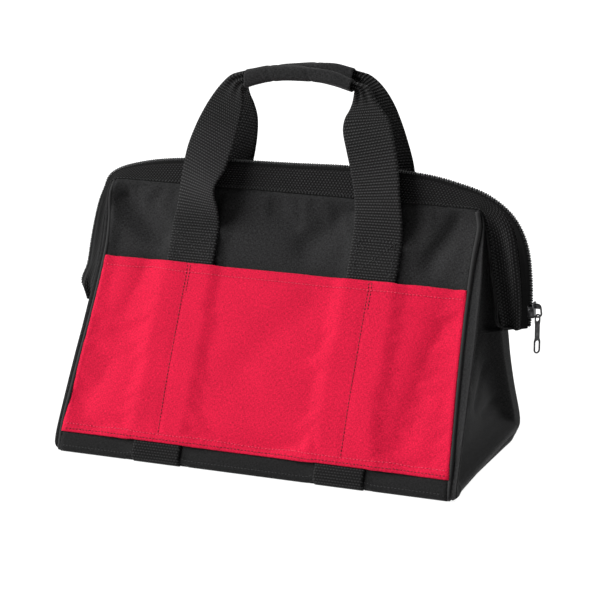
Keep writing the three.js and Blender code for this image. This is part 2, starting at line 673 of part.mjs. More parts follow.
// A cord of round section along a smooth curve through points
function cordAlong(points, radius, sides, steps) {
  const shape = new THREE.Shape();
  for (let i = 0; i < sides; i += 1) {
    const angle = (2 * Math.PI * i) / sides;
    shape[i ? "lineTo" : "moveTo"](radius * Math.cos(angle), radius * Math.sin(angle));
  }
  const extrudePath = new THREE.CatmullRomCurve3(points, false, "centripetal");
  return new THREE.ExtrudeGeometry(shape, { steps, extrudePath, bevelEnabled: false });
}

// The mouth's stations from the left fin, over the top, to the right fin
function mouthStations() {
  const left = MOUTH_LEFT.slice(1).reverse().map((station) => ({
    ...station,
    seamX: -station.seamX,
    zipX: -station.zipX,
    side: -1,
    corners: CORNERS.left,
  }));
  const right = MOUTH_RIGHT.map((station) => ({ ...station, side: 1, corners: CORNERS.right }));
  return [...left, ...right];
}

// One line across the band at each station: the sewn edge at 0 and the zip's edge at 1
function mouthLine(face, station) {
  const corner = station.corners[face];
  const bare = { ...station, seamX: Math.abs(station.seamX), zipX: Math.abs(station.zipX) };
  const seam = bandSeam(corner, bare);
  const zip = tapeEdge(corner.facing, bare);
  seam.x *= station.side;
  zip.x *= station.side;
  return { seam, zip };
}

function mouthGrid(face, facing, parts) {
  return mouthStations().map((station, i, all) => {
    const { seam, zip } = mouthLine(face, station);
    if (i === 0 || i === all.length - 1) {
      seam.z += SEAM_CLEARANCE;
      zip.z += SEAM_CLEARANCE;
    }
    const down = THREE.MathUtils.smoothstep(SEAM_Z - station.seamZ, FIN_FOLD_FADE.from, FIN_FOLD_FADE.to);
    const start = SEAM_CLEARANCE / seam.distanceTo(zip);
    return parts.map((share) => {
      const part = Math.max(share, start);
      const point = seam.clone().lerp(zip, part);
      point.y += facing * FIN_FOLD * down * Math.sin(2 * Math.PI * part) * part;
      return point;
    });
  });
}

function makeMouth() {
  for (const [face, facing] of [["front", -1], ["back", 1]]) {
    for (const [kind, look, parts, cloth] of [
      ["band", "band", BAND_PARTS, BAND_CLOTH],
      ["zip_tape", "zip", TAPE_PARTS, TAPE_CLOTH],
    ]) {
      const grid = mouthGrid(face, facing, parts);
      const normals = gridNormals(grid);
      if (facing < 0) normals.forEach((row) => row.forEach((normal) => normal.negate()));
      addPiece(`${face}_${kind}`, look, slab(grid, offsetGrid(grid, normals, -cloth)));
    }
  }
  const path = mouthStations().map((station) => {
    const out = new THREE.Vector2(station.zipX - station.seamX, station.zipZ - station.seamZ).normalize();
    return new THREE.Vector3(station.zipX + out.x * GAP, MOUTH_Y, station.zipZ + out.y * GAP);
  });
  addPiece("zip_coil", "zip", cordAlong(path, COIL_RADIUS, CORD_SIDES, COIL_STEPS));
}

// Straps: under the base, up the wall, then free to the grip, and down the other leg
function strapHalf(wall, firstColumn, leg, grip) {
  const columns = STRAP_COLUMNS.map((offset, i) => firstColumn + i);
  const last = rowAtHeight(SEWN_TOP_Z);
  const { facing, fold } = wall;
  const outer = [];
  const inner = [];
  const underX = columns.map((c) => wall.grid[0][c].x);
  for (const y of [GAP / 2, fold.centre / 2]) {
    outer.push(underX.map((x) => new THREE.Vector3(x, facing * y, 0)));
    inner.push(underX.map((x) => new THREE.Vector3(x, facing * y, WEBBING)));
  }
  for (let r = 0; r <= last; r += 1) {
    const onWall = (far, c) => wall.grid[r][c].clone().addScaledVector(wall.normals[r][c], far);
    const move = (far) => columns.map((c) => onWall(far, c));
    outer.push(move(GAP + WEBBING));
    inner.push(move(GAP));
  }
  const path = [...leg, ...grip];
  path.forEach((point, i) => {
    const before = path[Math.max(i - 1, 0)];
    const after = path[Math.min(i + 1, path.length - 1)];
    const section = strapSection(facing, point, before, after);
    outer.push(section.outer);
    inner.push(section.inner);
  });
  return { outer, inner };
}

// One section of the free strap: flat and wide on the leg, folded thick in the grip
function strapSection(facing, point, before, after) {
  const tangent = new THREE.Vector3(after.x - before.x, 0, after.z - before.z).normalize();
  const across = new THREE.Vector3(tangent.z, 0, -tangent.x);
  const turn = THREE.MathUtils.degToRad(point.turn || 0);
  const outward = new THREE.Vector3(0, facing, 0).applyAxisAngle(tangent, turn);
  const wide = across.clone().applyAxisAngle(tangent, turn);
  const thick = (WEBBING * WEBBING_WIDTH) / point.width;
  const gathered = THREE.MathUtils.smoothstep(WEBBING_WIDTH - point.width, 0, WEBBING_WIDTH / 2);
  const centre = new THREE.Vector3(point.x, point.y, point.z);
  const row = (far) =>
    STRAP_COLUMNS.map((offset, i) =>
      centre
        .clone()
        .addScaledVector(wide, (offset * point.width) / WEBBING_WIDTH)
        .addScaledVector(outward, far * THREE.MathUtils.lerp(1, BUNDLE_ROUND[i], gathered)),
    );
  return { outer: row(thick / 2), inner: row(-thick / 2) };
}

// Stations of a grip from left to right, with the folded strap's width inside it
function gripStations(grip, inset) {
  const first = grip[0].x + inset;
  const last = grip.at(-1).x - inset;
  const stations = [];
  for (let i = 0; i <= GRIP_STEPS; i += 1) {
    const x = THREE.MathUtils.lerp(first, last, i / GRIP_STEPS);
    const rise = valueAt(grip, "x", x, "rise");
    stations.push({
      x,
      y: grip[0].y,
      z: valueAt(grip, "x", x, "z"),
      rise,
      width: 2 * BUNDLE_PART * (rise - SLEEVE_CLOTH - GAP),
    });
  }
  return stations;
}

function makeStrap(name, wall, legLeft, legRight, grip) {
  const stations = gripStations(grip, 0);
  const left = strapHalf(wall, strapFirstColumn.left, legLeft, stations);
  const right = strapHalf(wall, strapFirstColumn.right, legRight, []);
  const join = (side) => [...left[side], ...right[side].slice().reverse()];
  const turnOver = (rows, from) => rows.map((row, i) => (i < from ? row : row.slice().reverse()));
  const legRows = left.outer.length;
  addPiece(name, "webbing", slab(turnOver(join("outer"), legRows), turnOver(join("inner"), legRows)));
}

// Grip: a sleeve round the folded strap, open at both ends
function makeGrip(name, grip) {
  const stations = gripStations(grip, SLEEVE_INSET);
  const ring = (station, inset) => {
    const points = [];
    for (let i = 0; i < SLEEVE_SIDES; i += 1) {
      const angle = (2 * Math.PI * i) / SLEEVE_SIDES;
      const y = station.y + (GRIP_DEPTH - inset) * Math.cos(angle);
      points.push(new THREE.Vector3(station.x, y, station.z + (station.rise - inset) * Math.sin(angle)));
    }
    return points;
  };
  const outer = stations.map((station) => ring(station, 0));
  const inner = stations.map((station) => ring(station, SLEEVE_CLOTH)).reverse();
  addPiece(name, "black_cloth", closedLoop([...outer, ...inner]));
}

// Closed solid from rings that run out and back and meet again
function closedLoop(rings) {
  const sides = rings[0].length;
  const positions = rings.flat().flatMap((point) => [point.x, point.y, point.z]);
  const index = [];
  rings.forEach((ring, r) => {
    const next = (r + 1) % rings.length;
    for (let i = 0; i < sides; i += 1) {
      const j = (i + 1) % sides;
      const corners = [r * sides + i, r * sides + j, next * sides + j, next * sides + i];
      index.push(corners[0], corners[1], corners[2], corners[0], corners[2], corners[3]);
    }
  });
  const geometry = new THREE.BufferGeometry();
  geometry.setAttribute("position", new THREE.Float32BufferAttribute(positions, 3));
  geometry.setIndex(index);
  return facingOut(geometry);
}

function toSolid(geometry) {
  const bare = geometry.clone();
  bare.deleteAttribute("normal");
  bare.deleteAttribute("uv");
  const merged = mergeVertices(bare, 1e-4);
  const vertProperties = new Float32Array(merged.attributes.position.array);
  const triVerts = new Uint32Array(merged.index.array);
  return new wasm.Manifold(new wasm.Mesh({ numProp: 3, vertProperties, triVerts }));
}

function toGeometry(solid) {
  const mesh = solid.getMesh();
  const geometry = new THREE.BufferGeometry();
  geometry.setAttribute("position", new THREE.BufferAttribute(mesh.vertProperties.slice(), 3));
  geometry.setIndex(new THREE.BufferAttribute(mesh.triVerts.slice(), 1));
  geometry.computeVertexNormals();
  return geometry;
}

// Slider: a channel over the coil with a bail on its outer face
function makeSlider() {
  const inside = SLIDER_HALF_WIDTH - SLIDER_WALL;
  const lipX = SLIDER_X - SLIDER_WALL - SLIDER_LIP;
  const channel = new THREE.Shape();
  channel.moveTo(lipX, -SLIDER_HALF_WIDTH);
  channel.lineTo(SLIDER_X - SLIDER_CHAMFER, -SLIDER_HALF_WIDTH);
  channel.lineTo(SLIDER_X, -SLIDER_HALF_WIDTH + SLIDER_CHAMFER);
  channel.lineTo(SLIDER_X, SLIDER_HALF_WIDTH - SLIDER_CHAMFER);
  channel.lineTo(SLIDER_X - SLIDER_CHAMFER, SLIDER_HALF_WIDTH);
  channel.lineTo(lipX, SLIDER_HALF_WIDTH);
  channel.lineTo(lipX, inside);
  channel.lineTo(SLIDER_X - SLIDER_WALL, inside);
  channel.lineTo(SLIDER_X - SLIDER_WALL, -inside);
  channel.lineTo(lipX, -inside);
  const body = new THREE.ExtrudeGeometry(channel, { depth: SLIDER_LENGTH, bevelEnabled: false });
  body.translate(0, MOUTH_Y, SLIDER_BOTTOM_Z);
  const root = SLIDER_X - BAIL_ROOT * SLIDER_WALL;
  const bailPoint = (degrees) => {
    const angle = THREE.MathUtils.degToRad(degrees);
    const x = BAIL_X + BAIL_RADIUS * Math.cos(angle);
    return new THREE.Vector3(x, MOUTH_Y, BAIL_Z + BAIL_RADIUS * Math.sin(angle));
  };
  const arc = BAIL_ANGLES.map(bailPoint);
  const points = [
    new THREE.Vector3(root, MOUTH_Y, BAIL_Z - BAIL_RADIUS),
    ...arc,
    new THREE.Vector3(root, MOUTH_Y, BAIL_Z + BAIL_RISE),
  ];
  const bail = toSolid(cordAlong(points, BAIL_WIRE, BAIL_SIDES, BAIL_STEPS));
  addPiece("zip_slider", "metal", toGeometry(toSolid(body).add(bail)));
}

// Pull: a flat tab with an eye round the bail and a long hole at its tip, hanging straight down
function makePull() {
  const slot = (path, width, height, middle) => {
    const radius = width / 2;
    const reach = height / 2 - radius;
    path.absarc(0, middle + reach, radius, 0, Math.PI, false);
    path.absarc(0, middle - reach, radius, Math.PI, 2 * Math.PI, false);
    path.closePath();
    return path;
  };
  const wireBottom = -BAIL_RADIUS;
  const holeTop = wireBottom + BAIL_WIRE + EYE_CLEARANCE;
  const top = holeTop + EYE_RIM;
  const bottom = top - PULL_LENGTH;
  const shape = new THREE.Shape();
  const eyeMiddle = top - EYE_WIDTH / 2;
  const tipMiddle = bottom + TIP_WIDTH / 2;
  shape.absarc(0, eyeMiddle, EYE_WIDTH / 2, 0, Math.PI, false);
  shape.lineTo(-EYE_WIDTH / 2, eyeMiddle - EYE_HOLE.height + EYE_RIM);
  shape.lineTo(-SHANK_WIDTH / 2, eyeMiddle - EYE_HOLE.height - EYE_RIM);
  shape.lineTo(-SHANK_WIDTH / 2, tipMiddle + TIP_HOLE.height);
  shape.lineTo(-TIP_WIDTH / 2, tipMiddle + TIP_HOLE.height - 2 * EYE_RIM);
  shape.absarc(0, tipMiddle, TIP_WIDTH / 2, Math.PI, 2 * Math.PI, false);
  shape.lineTo(TIP_WIDTH / 2, tipMiddle + TIP_HOLE.height - 2 * EYE_RIM);
  shape.lineTo(SHANK_WIDTH / 2, tipMiddle + TIP_HOLE.height);
  shape.lineTo(SHANK_WIDTH / 2, eyeMiddle - EYE_HOLE.height - EYE_RIM);
  shape.lineTo(EYE_WIDTH / 2, eyeMiddle - EYE_HOLE.height + EYE_RIM);
  const eyeHoleMiddle = holeTop - EYE_HOLE.height / 2;
  const tipHoleMiddle = bottom + EYE_RIM + TIP_HOLE.height / 2;
  shape.holes.push(slot(new THREE.Path(), EYE_HOLE.width, EYE_HOLE.height, eyeHoleMiddle));
  shape.holes.push(slot(new THREE.Path(), TIP_HOLE.width, TIP_HOLE.height, tipHoleMiddle));
  const flat = { depth: PULL_THICK, bevelEnabled: false, curveSegments: PULL_SEGMENTS };
  const tab = new THREE.ExtrudeGeometry(shape, flat);
  tab.translate(0, 0, -PULL_THICK / 2);
  tab.rotateX(Math.PI / 2);
  tab.rotateZ(Math.PI / 2 - PULL_TURN);
  tab.translate(BAIL_X, MOUTH_Y, BAIL_Z);
  addPiece("zip_pull", "metal", tab);
}

makeBase();
makePanels();
makeGusset("left_gusset", CORNERS.left, -1, MOUTH_LEFT);
makeGusset("right_gusset", CORNERS.right, 1, MOUTH_RIGHT);
makePiping("left_piping", CORNERS.left, -1);
makePiping("right_piping", CORNERS.right, 1);
makePocket();
makeStrap("front_strap", front, FRONT_LEG_LEFT, FRONT_LEG_RIGHT, GRIP_FRONT);
makeStrap("back_strap", back, BACK_LEG_LEFT, BACK_LEG_RIGHT, GRIP_BACK);
makeGrip("front_grip", GRIP_FRONT);
makeGrip("back_grip", GRIP_BACK);
makeMouth();
makeSlider();
makePull();

export default bag;
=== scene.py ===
"""Dresses a zipped tool bag: woven cloth, webbing, piping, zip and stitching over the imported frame."""

import functools
import math
from collections import namedtuple

import bmesh
import bpy
import numpy as np
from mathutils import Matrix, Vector, noise


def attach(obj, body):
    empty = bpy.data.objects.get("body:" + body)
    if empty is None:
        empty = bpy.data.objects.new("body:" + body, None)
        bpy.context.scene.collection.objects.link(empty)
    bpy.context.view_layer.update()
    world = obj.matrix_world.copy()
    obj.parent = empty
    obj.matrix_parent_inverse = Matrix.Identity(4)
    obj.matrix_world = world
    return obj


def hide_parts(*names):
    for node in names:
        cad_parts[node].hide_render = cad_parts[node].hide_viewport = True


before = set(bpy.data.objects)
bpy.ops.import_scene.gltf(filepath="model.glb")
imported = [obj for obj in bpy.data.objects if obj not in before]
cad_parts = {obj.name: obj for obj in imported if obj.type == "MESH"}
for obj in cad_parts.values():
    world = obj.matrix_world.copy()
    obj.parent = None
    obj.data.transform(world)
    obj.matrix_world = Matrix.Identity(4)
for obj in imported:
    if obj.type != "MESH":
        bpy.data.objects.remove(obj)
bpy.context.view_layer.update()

bl_info = {
    "name": "Tool bag dressing",
    "version": (1, 0, 0),
    "blender": (4, 5, 0),
    "location": "View3D > Sidebar > Tool bag",
    "description": "Builds the cloth, webbing, zip and stitching of a tool bag over its packed frame",
    "category": "Object",
}

# Lengths in the tables and shapes are in millimetres, and the meshes are in metres
MM = 0.001

# Cloth and webbing
GAP = 0.3
BODY_CLOTH = 1.5
GUSSET_CLOTH = 1.2
POCKET_CLOTH = 1.4
BAND_CLOTH = 1.6
TAPE_CLOTH = 1.0
SLEEVE_CLOTH = 1.3
WEBBING = 1.8
WEBBING_WIDTH = 38
CLOTH_EDGE = 0.35
WEBBING_EDGE = 0.5
STRAP_X = 75

# Base and walls
BASE_HALF_WIDTH = 157.5
BASE_THICK = 3.4
BASE_ROUNDING = 0.5
GROOVE_DEPTH = 2.1
FOOT_DROP = 1.8
FOOT_DROP_TOP = 22
FOOT_DROP_BESIDE = (3.4, 6.4)
FOLD_HALF_WIDTH = 160
FOOT_SLOPE = 0.485
FOLD_END = math.pi / 2 + math.atan(FOOT_SLOPE)
FOLD_TOP_Z = 16.7
POCKET_TOP_Z = 143
SEWN_TOP_Z = 172
SEAM_Z = 200
WALL_BULGE = 3
LEFT_TUCK = 2.6
LEFT_TUCK_FADE = (150, 196)
BACK_TUCK = 3.6
BACK_TUCK_FADE = (52, 108)
DENT_START = 0.12
DENT_END = 0.93
FOLD_ROWS = 8
WALL_ROWS = 62
WALL_COLUMNS = 105

# Mouth, zip and fins
MOUTH_Y = 3
TAPE_EDGE = 2.9
COIL_RADIUS = 1.6
COIL_ARC = 2.3
COIL_WIRE = 0.5
COIL_WRAP = 110
COIL_LEAN = 0.2
TOOTH_POINTS = 9
TOOTH_SIDES = 6
CORE_RADIUS = COIL_ARC - 1.3 * COIL_WIRE
CORE_SIDES = 12
CORNER_Z = 199
BAND_START = 0.0
BAND_END = 0.775
TAPE_START = 0.79
BAND_TOP_SPLIT = 0.9
SEAM_CLEARANCE = 0.9
FIN_FOLD = {"left": 0.9, "right": 3.4}
FIN_END_FOLD = {"left": 4.2, "right": 3.4}
FIN_END_FADE = (106, 132)
FIN_END_DROP = 1.9
FIN_TOP_PART = 0.985
FIN_TOP_RISE = 2.2
FIN_FOLD_FADE = (2, 30)
SHELF_DROP = 2.6
FIN_HOLLOW = {"left": 2, "right": 10}
FIN_HOLLOW_WIDTH = 12
FIN_HOLLOW_OUTER = 0.8
FIN_COLUMNS = (0.34, 0.68, 1)

# Piping
PIPING_RADIUS = 1.7
PIPING_SUNK = 0.5
PIPING_CORNER = 1.9
PIPING_LOW = 0.4
PIPING_HIGH = {"left": 1.6, "right": -0.9}
PIPING_RISE = (120, 180)
PIPING_LEVELS = (199, 188, 170, 150, 126, 100, 70, 40, 22)
PIPING_ANGLES = (1.8, 1.35, 0.9, 0.45, 0)
PIPING_UNDER = (16, 32, 48)
PIPING_STEP = 1.6
PIPING_SIDES = 14

# Grips
GRIP_DEPTH = 6.4
SLEEVE_INSET = 3
SLEEVE_SQUARE = 0.62
SLEEVE_TURN = math.radians(-34)
SLEEVE_TURN_SPAN = (6, 44)
SLEEVE_CREASES = (-15.7, 16.4)
SLEEVE_CREASE = 0.4
SLEEVE_CREASE_WIDTH = 1.6
BUNDLE_PART = 0.92
SLEEVE_RINGS = 90
SLEEVE_SIDES = 48
SLEEVE_GIRTH = 40
SLEEVE_LEAN = 0.35
Unevenness = namedtuple("Unevenness", "stretch size seed depth sink")
SLEEVE_NOISE = Unevenness((1, 2.2, 2.2), 13, 4.0, 0.35, 0.3)

# Slider and pull
SLIDER_BOTTOM_Z = 120
SLIDER_LENGTH = 12
SLIDER_HALF_WIDTH = 3.7
SLIDER_WALL = 1.3
SLIDER_X = 195.2
SLIDER_DEPTH = 4.4
BAIL_X = 197.3
BAIL_Z = 123.6
BAIL_RADIUS = 2.9
BAIL_WIRE = 0.75
BAIL_RISE = 6.6
CAP_START = 3.4
CAP_WIDTH = 1.3
PULL_THICK = 1.1
PULL_ROUNDING = 0.32
PULL_ARC_POINTS = 16
HOLE_ARC_POINTS = 12
WELD_DISTANCE = 0.002
PULL_TURN = math.radians(35)
PULL_LENGTH = 31
EYE_WIDTH = 5.2
EYE_HOLE = (3.2, 4.6)
SHANK_WIDTH = 4.4
TIP_WIDTH = 6
TIP_HOLE = (3.4, 9)
EYE_RIM = 1.2
EYE_CLEARANCE = 0.55

# Camera
CAMERA_PLACE = (0.71669, -1.75409, 0.61615)
CAMERA_TURN = (math.radians(75.1872), 0, math.radians(22.0536))
CAMERA_LENS = 151.06
SENSOR_WIDTH = 36

# Light: a broad key from above on the left, a softer one from behind on the right, and a dim white surround
LIGHTS = (
    ("key", (-0.74, -0.42, 0.5), 7.3, math.radians(40)),
    ("side", (0.44, 0.38, 0.8), 2.3, math.radians(24)),
)
SKY_STRENGTH = 0.08
FLOOR_GLOW = 0.92
FLOOR_REACH = 40
FLOOR_TONES = (0.18, 0.2)
FLOOR_ROUGHNESS = 0.9

# Cloth simulation: points held near the sewn edges, how much the cloth grows and how far it may move
HELD_MARGIN = 2
HELD_TOP = 3
HELD_SIDE = 0.985
WALL_GROWTH = 0.012
WALL_SLACK = 2.6
POCKET_GROWTH = 0.0035
POCKET_SLACK = 0.9
SETTLE_FRAMES = 26
CLOTH_SETTINGS = {
    "quality": 5,
    "mass": 0.15,
    "tension_stiffness": 30,
    "compression_stiffness": 30,
    "shear_stiffness": 12,
    "bending_stiffness": 4,
    "air_damping": 3,
}


def smoothstep(value, start, end):
    part = np.clip((value - start) / (end - start), 0, 1)
    return part * part * (3 - 2 * part)


def lerp(first, second, part):
    return first + (second - first) * part


def unit(vectors):
    lengths = np.linalg.norm(vectors, axis=-1, keepdims=True)
    return vectors / np.maximum(lengths, 1e-9)


def through(keys, values, at):
    """Smooth curve through the values at their keys, read at other places."""
    keys = np.asarray(keys, float)
    values = np.asarray(values, float)
    at = np.clip(np.asarray(at, float), keys[0], keys[-1])
    spread = (slice(None),) + (None,) * (values.ndim - 1)
    slopes = np.empty_like(values)
    slopes[0] = (values[1] - values[0]) / (keys[1] - keys[0])
    slopes[-1] = (values[-1] - values[-2]) / (keys[-1] - keys[-2])
    slopes[1:-1] = (values[2:] - values[:-2]) / (keys[2:] - keys[:-2])[spread]
    first = np.clip(np.searchsorted(keys, at, side="right") - 1, 0, len(keys) - 2)
    gap = keys[first + 1] - keys[first]
    part = (at - keys[first]) / gap
    wide = at.shape + (1,) * (values.ndim - 1)
    gap = gap.reshape(wide)
    part = part.reshape(wide)
    rise = values[first + 1] - values[first]
    bend = slopes[first] * gap * part * (1 - part) ** 2 - slopes[first + 1] * gap * part**2 * (1 - part)
    return values[first] + rise * part**2 * (3 - 2 * part) + bend


class Table:
    """Rows of named columns, read smoothly between the rows. The first column is the key."""

    def __init__(self, columns, *rows):
        self.columns = columns.split()
        self.rows = np.array(rows, float)

    def column(self, name):
        return self.rows[:, self.columns.index(name)]

    def at(self, name, key):
        return through(self.rows[:, 0], self.column(name), key)

    def each(self):
        row_type = namedtuple("Row", self.columns)
        return [row_type(*row) for row in self.rows]


FRONT_WALL = Table(
    "z y half",
    (16.7, 89.6, 160),
    (60, 68.5, 156.5),
    (100, 47.5, 153.2),
    (143, 25.5, 151),
    (172, 13, 151.4),
    (194, 5, 152.2),
    (200, 3, 149),
)
BACK_WALL = Table(
    "z y half",
    (16.7, 86, 160),
    (60, 67, 156.5),
    (100, 48.4, 153.2),
    (143, 29, 151),
    (172, 17.6, 151.4),
    (194, 10.6, 152.2),
    (200, 9, 149),
)
FRONT_DENTS = Table(
    "x1 z1 x2 z2 depth spread",
    (-140, 187, -104, 159, 6.4, 8),
    (-118, 183, -107, 171, 1.8, 5),
    (137, 194, 118, 160, 4.6, 8),
    (52, 195, 18, 164, 4.2, 11),
    (-14, 191, 6, 178, 2.4, 7),
    (-107, 138, -121, 88, 3.2, 13),
    (-121, 88, -146, 42, 3, 13),
    (30, 122, -16, 78, 1.5, 14),
    (139, 118, 118, 28, 3, 11),
)
BACK_DENTS = Table(
    "x1 z1 x2 z2 depth spread",
    (-140, 190, -100, 140, 2.4, 11),
    (140, 190, 100, 140, 2.4, 11),
)

# Stations along the mouth from the middle to the lower end of a fin, right and left of the middle
MOUTH_RIGHT = Table(
    "seam_x seam_z zip_x zip_z",
    (0, 200, 0, 221.8),
    (40, 200, 41, 223.2),
    (80, 200, 82, 223),
    (110, 200, 112, 221),
    (132, 200, 136, 216.3),
    (149.4, 200, 154, 211),
    (153.6, 197.6, 168, 203),
    (155.4, 192, 177.5, 194),
    (158.6, 182, 184.6, 182),
    (162, 167, 188.9, 168),
    (165.8, 150, 191, 150),
    (170, 132, 191.6, 132),
    (174.3, 114.4, 190.6, 113.8),
)
MOUTH_LEFT = Table(
    "seam_x seam_z zip_x zip_z",
    (0, 200, 0, 221.8),
    (40, 200, 41, 220.8),
    (80, 200, 83, 219.3),
    (110, 200, 112, 216.3),
    (132, 200, 132, 212.2),
    (149.4, 200, 147.4, 207.2),
    (153.6, 197.6, 157, 200.6),
    (155, 192, 161.8, 190.5),
    (156.6, 181, 166.6, 179),
    (158.6, 165, 171.2, 162),
    (159.6, 149, 174.6, 146),
    (161.8, 130, 178.2, 127),
    (164.6, 115, 183.6, 112.4),
    (164, 105.6, 178.6, 103),
)
MOUTHS = {"left": MOUTH_LEFT, "right": MOUTH_RIGHT}
SIDES = {"left": -1, "right": 1}

# Gusset rows from the bottom, with the roll at the edge and the recess of the middle
GUSSET_ROWS = Table(
    "z recess drop",
    (1.4, -0.6, 0),
    (4.6, -2.8, 0.3),
    (7.5, -4, 0.6),
    (10.5, -3.2, 0.5),
    (13, 3.4, 0.3),
    (20, 8.8, 0.1),
    (46, 11.4, 0),
    (72, 13, 0),
    (92, 14, 0),
)
ROLL_FOLD_ROW = 4
GUSSET_STEPS = (2.2, 1.3)
GUSSET_DENT_FADE = (16, 34)
GUSSET_DENT_ROWS = 4
SHELF_RECESS = 14
RECESS_COLUMNS = Table("depth recess lip", (0.88, 0.8, 0.7), (0.45, 1, 0.3), (0.04, 1, 0))
ROLL_EDGE = Table(
    "z inset depth right_front right_back left_front left_back",
    (1.4, 1.4, 10, 3, 1, 1.4, 1.4),
    (4.6, 0.9, 10, 5.6, 2.3, 3, 3),
    (7.5, 0.6, 10, 6.6, 3, 4, 4),
    (13.4, 0, 10, 5.6, 2.2, 3.8, 3.8),
    (46, -0.6, 10, 7.4, 3, 4, 4),
    (92, -0.8, 10.5, 9.6, 4.9, 4.4, 4.4),
    (122, -0.8, 10, 9.9, 5.4, 4.4, 4.4),
    (150, -0.8, 8, 8.6, 4.8, 3.6, 3.6),
    (180, -0.4, 4.4, 4.4, 3, 2.4, 2.4),
    (198, 0.2, 1.6, 1.8, 1.4, 1.2, 1.2),
)
ROLL_SECTION = Table(
    "roll depth flare open",
    (0, 0.14, 0, 0),
    (0.45, 0.06, 0, 0.45),
    (0.78, 0.02, 0.15, 0.7),
    (0.98, 0, 1, 0.86),
    (1.04, 0.12, 0.8, 0.96),
    (0.75, 0.55, 0, 1),
    (0.45, 1, 0, 1),
)
ROLL_OPEN_Z = (8, 14)
ROLL_POINTS = len(ROLL_SECTION.rows)
ROLL_CREST = 3
ROLL_FLARE = {("right", "front"): 0.2}
ROLL_DROP = {("right", "front"): 3.6}
# Creases pressed into the gussets, by depth along the bag and height
GUSSET_DENTS = Table(
    "x1 z1 x2 z2 depth spread",
    (2, 108, 0, 50, 4, 6),
    (0, 50, -46, 20, 1.3, 8),
    (0, 50, 44, 20, 1.3, 8),
    (-30, 96, -8, 70, 1.8, 5),
    (34, 92, 12, 62, 2.6, 5),
    (46, 66, 16, 40, 2.2, 5),
    (60, 34, 30, 30, 2, 5),
)

# Free legs of the straps, from the wall to the grip
FRONT_LEG_RIGHT = Table(
    "x y z turn width",
    (75.4, -13.5, 186, -4, 38),
    (73.6, -11.5, 205, -9, 38),
    (70.6, -9, 224, -4, 38),
    (66, -7, 243, 0, 38),
    (62.4, -5.4, 257, 0, 37.6),
    (61.6, -4.8, 264, 0, 33),
    (60.8, -4.4, 270, 0, 25),
    (59.6, -4, 276, 0, 18),
    (57.4, -4, 284.6, 0, 12),
)
FRONT_LEG_LEFT = Table(
    "x y z turn width",
    (-74, -14, 186, -14, 38),
    (-74.6, -12, 205, -26, 38),
    (-68.6, -9, 224, -14, 38),
    (-61.8, -7, 243, -6, 34.6),
    (-56.2, -5.4, 258, 0, 29.6),
    (-51.8, -4.4, 269, 0, 25),
    (-48, -4, 278, 0, 19),
    (-44.2, -4, 284.6, 0, 13),
)
BACK_LEG_RIGHT = Table(
    "x y z turn width",
    (75, 20, 186, 4, 38),
    (74.6, 17.6, 205, 4, 38),
    (73, 16, 224, 2, 38),
    (68.4, 14, 243, 0, 38),
    (64.4, 12.8, 258, 0, 36),
    (61.6, 12, 270, 0, 31),
    (58.2, 11.6, 280.6, 0, 23),
    (53.4, 11.6, 288.6, 0, 14),
)
BACK_LEG_LEFT = Table(
    "x y z turn width",
    (-73, 20, 186, 6, 38),
    (-67, 17.6, 205, 8, 38),
    (-59.6, 16, 224, 6, 38),
    (-55, 14, 243, 2, 38),
    (-53, 12.8, 257, 0, 36),
    (-52, 12, 268, 0, 29),
    (-50, 11.6, 275.6, 0, 20),
    (-47, 11.6, 282, 0, 12),
)
FRONT_GRIP = Table(
    "x y z rise",
    (-39, -4, 287, 7.4),
    (-18, -4, 292.4, 6.6),
    (8, -4, 294.4, 5.8),
    (34, -4, 292.2, 5.4),
    (53, -4, 287, 4.8),
)
BACK_GRIP = Table(
    "x y z rise",
    (-43, 11.6, 285, 6.4),
    (-20, 11.6, 290.6, 6.2),
    (4, 11.6, 294.2, 6),
    (28, 11.6, 295.2, 6),
    (48.5, 11.6, 291.6, 6),
)

# Folds down the fin's face, by part of the way from the sewn edge to the zip
FIN_FOLDS = Table(
    "part out",
    (0, 0),
    (0.1, -0.1),
    (0.27, -0.9),
    (0.42, -0.5),
    (0.6, 1),
    (0.74, 0.7),
    (0.84, 0),
    (1, 0),
)

# Form of one stitch along its length: its lift off the cloth and its thickness, in parts of its radius
STITCH_FORM = Table(
    "at lift thick",
    (-0.5, -0.55, 0.75),
    (-0.25, 0.35, 1),
    (0, 0.6, 1.05),
    (0.25, 0.35, 1),
    (0.5, -0.55, 0.75),
)
STITCH_SHARE = 0.72
STITCH_SIDES = 6
BAR_TIP = 0.6

Face = namedtuple("Face", "facing wall fold_radius fold_centre dents leg_left leg_right grip")
FACES = {
    "front": Face(-1, FRONT_WALL, 3.5, 91.1, FRONT_DENTS, FRONT_LEG_LEFT, FRONT_LEG_RIGHT, FRONT_GRIP),
    "back": Face(1, BACK_WALL, 10, 77.1, BACK_DENTS, BACK_LEG_LEFT, BACK_LEG_RIGHT, BACK_GRIP),
}


class Patch:
    """A cloth surface in rows and columns, read between its points by row and column keys."""

    def __init__(self, points, outward, rows, columns):
        self.points = points
        self.normals = grid_normals(points, outward)
        self.rows = rows
        self.columns = columns

    def read(self, row, column):
        row, column = np.broadcast_arrays(np.asarray(row, float), np.asarray(column, float))
        r, down = place_between(self.rows, row)
        c, along = place_between(self.columns, column)
        found = []
        for grid in (self.points, self.normals):
            near = lerp(grid[r, c], grid[r, c + 1], along[..., None])
            far = lerp(grid[r + 1, c], grid[r + 1, c + 1], along[..., None])
            found.append(lerp(near, far, down[..., None]))
        return found[0], unit(found[1])


def place_between(keys, at):
    first = np.clip(np.searchsorted(keys, at, side="right") - 1, 0, len(keys) - 2)
    return first, np.clip((at - keys[first]) / (keys[first + 1] - keys[first]), 0, 1)


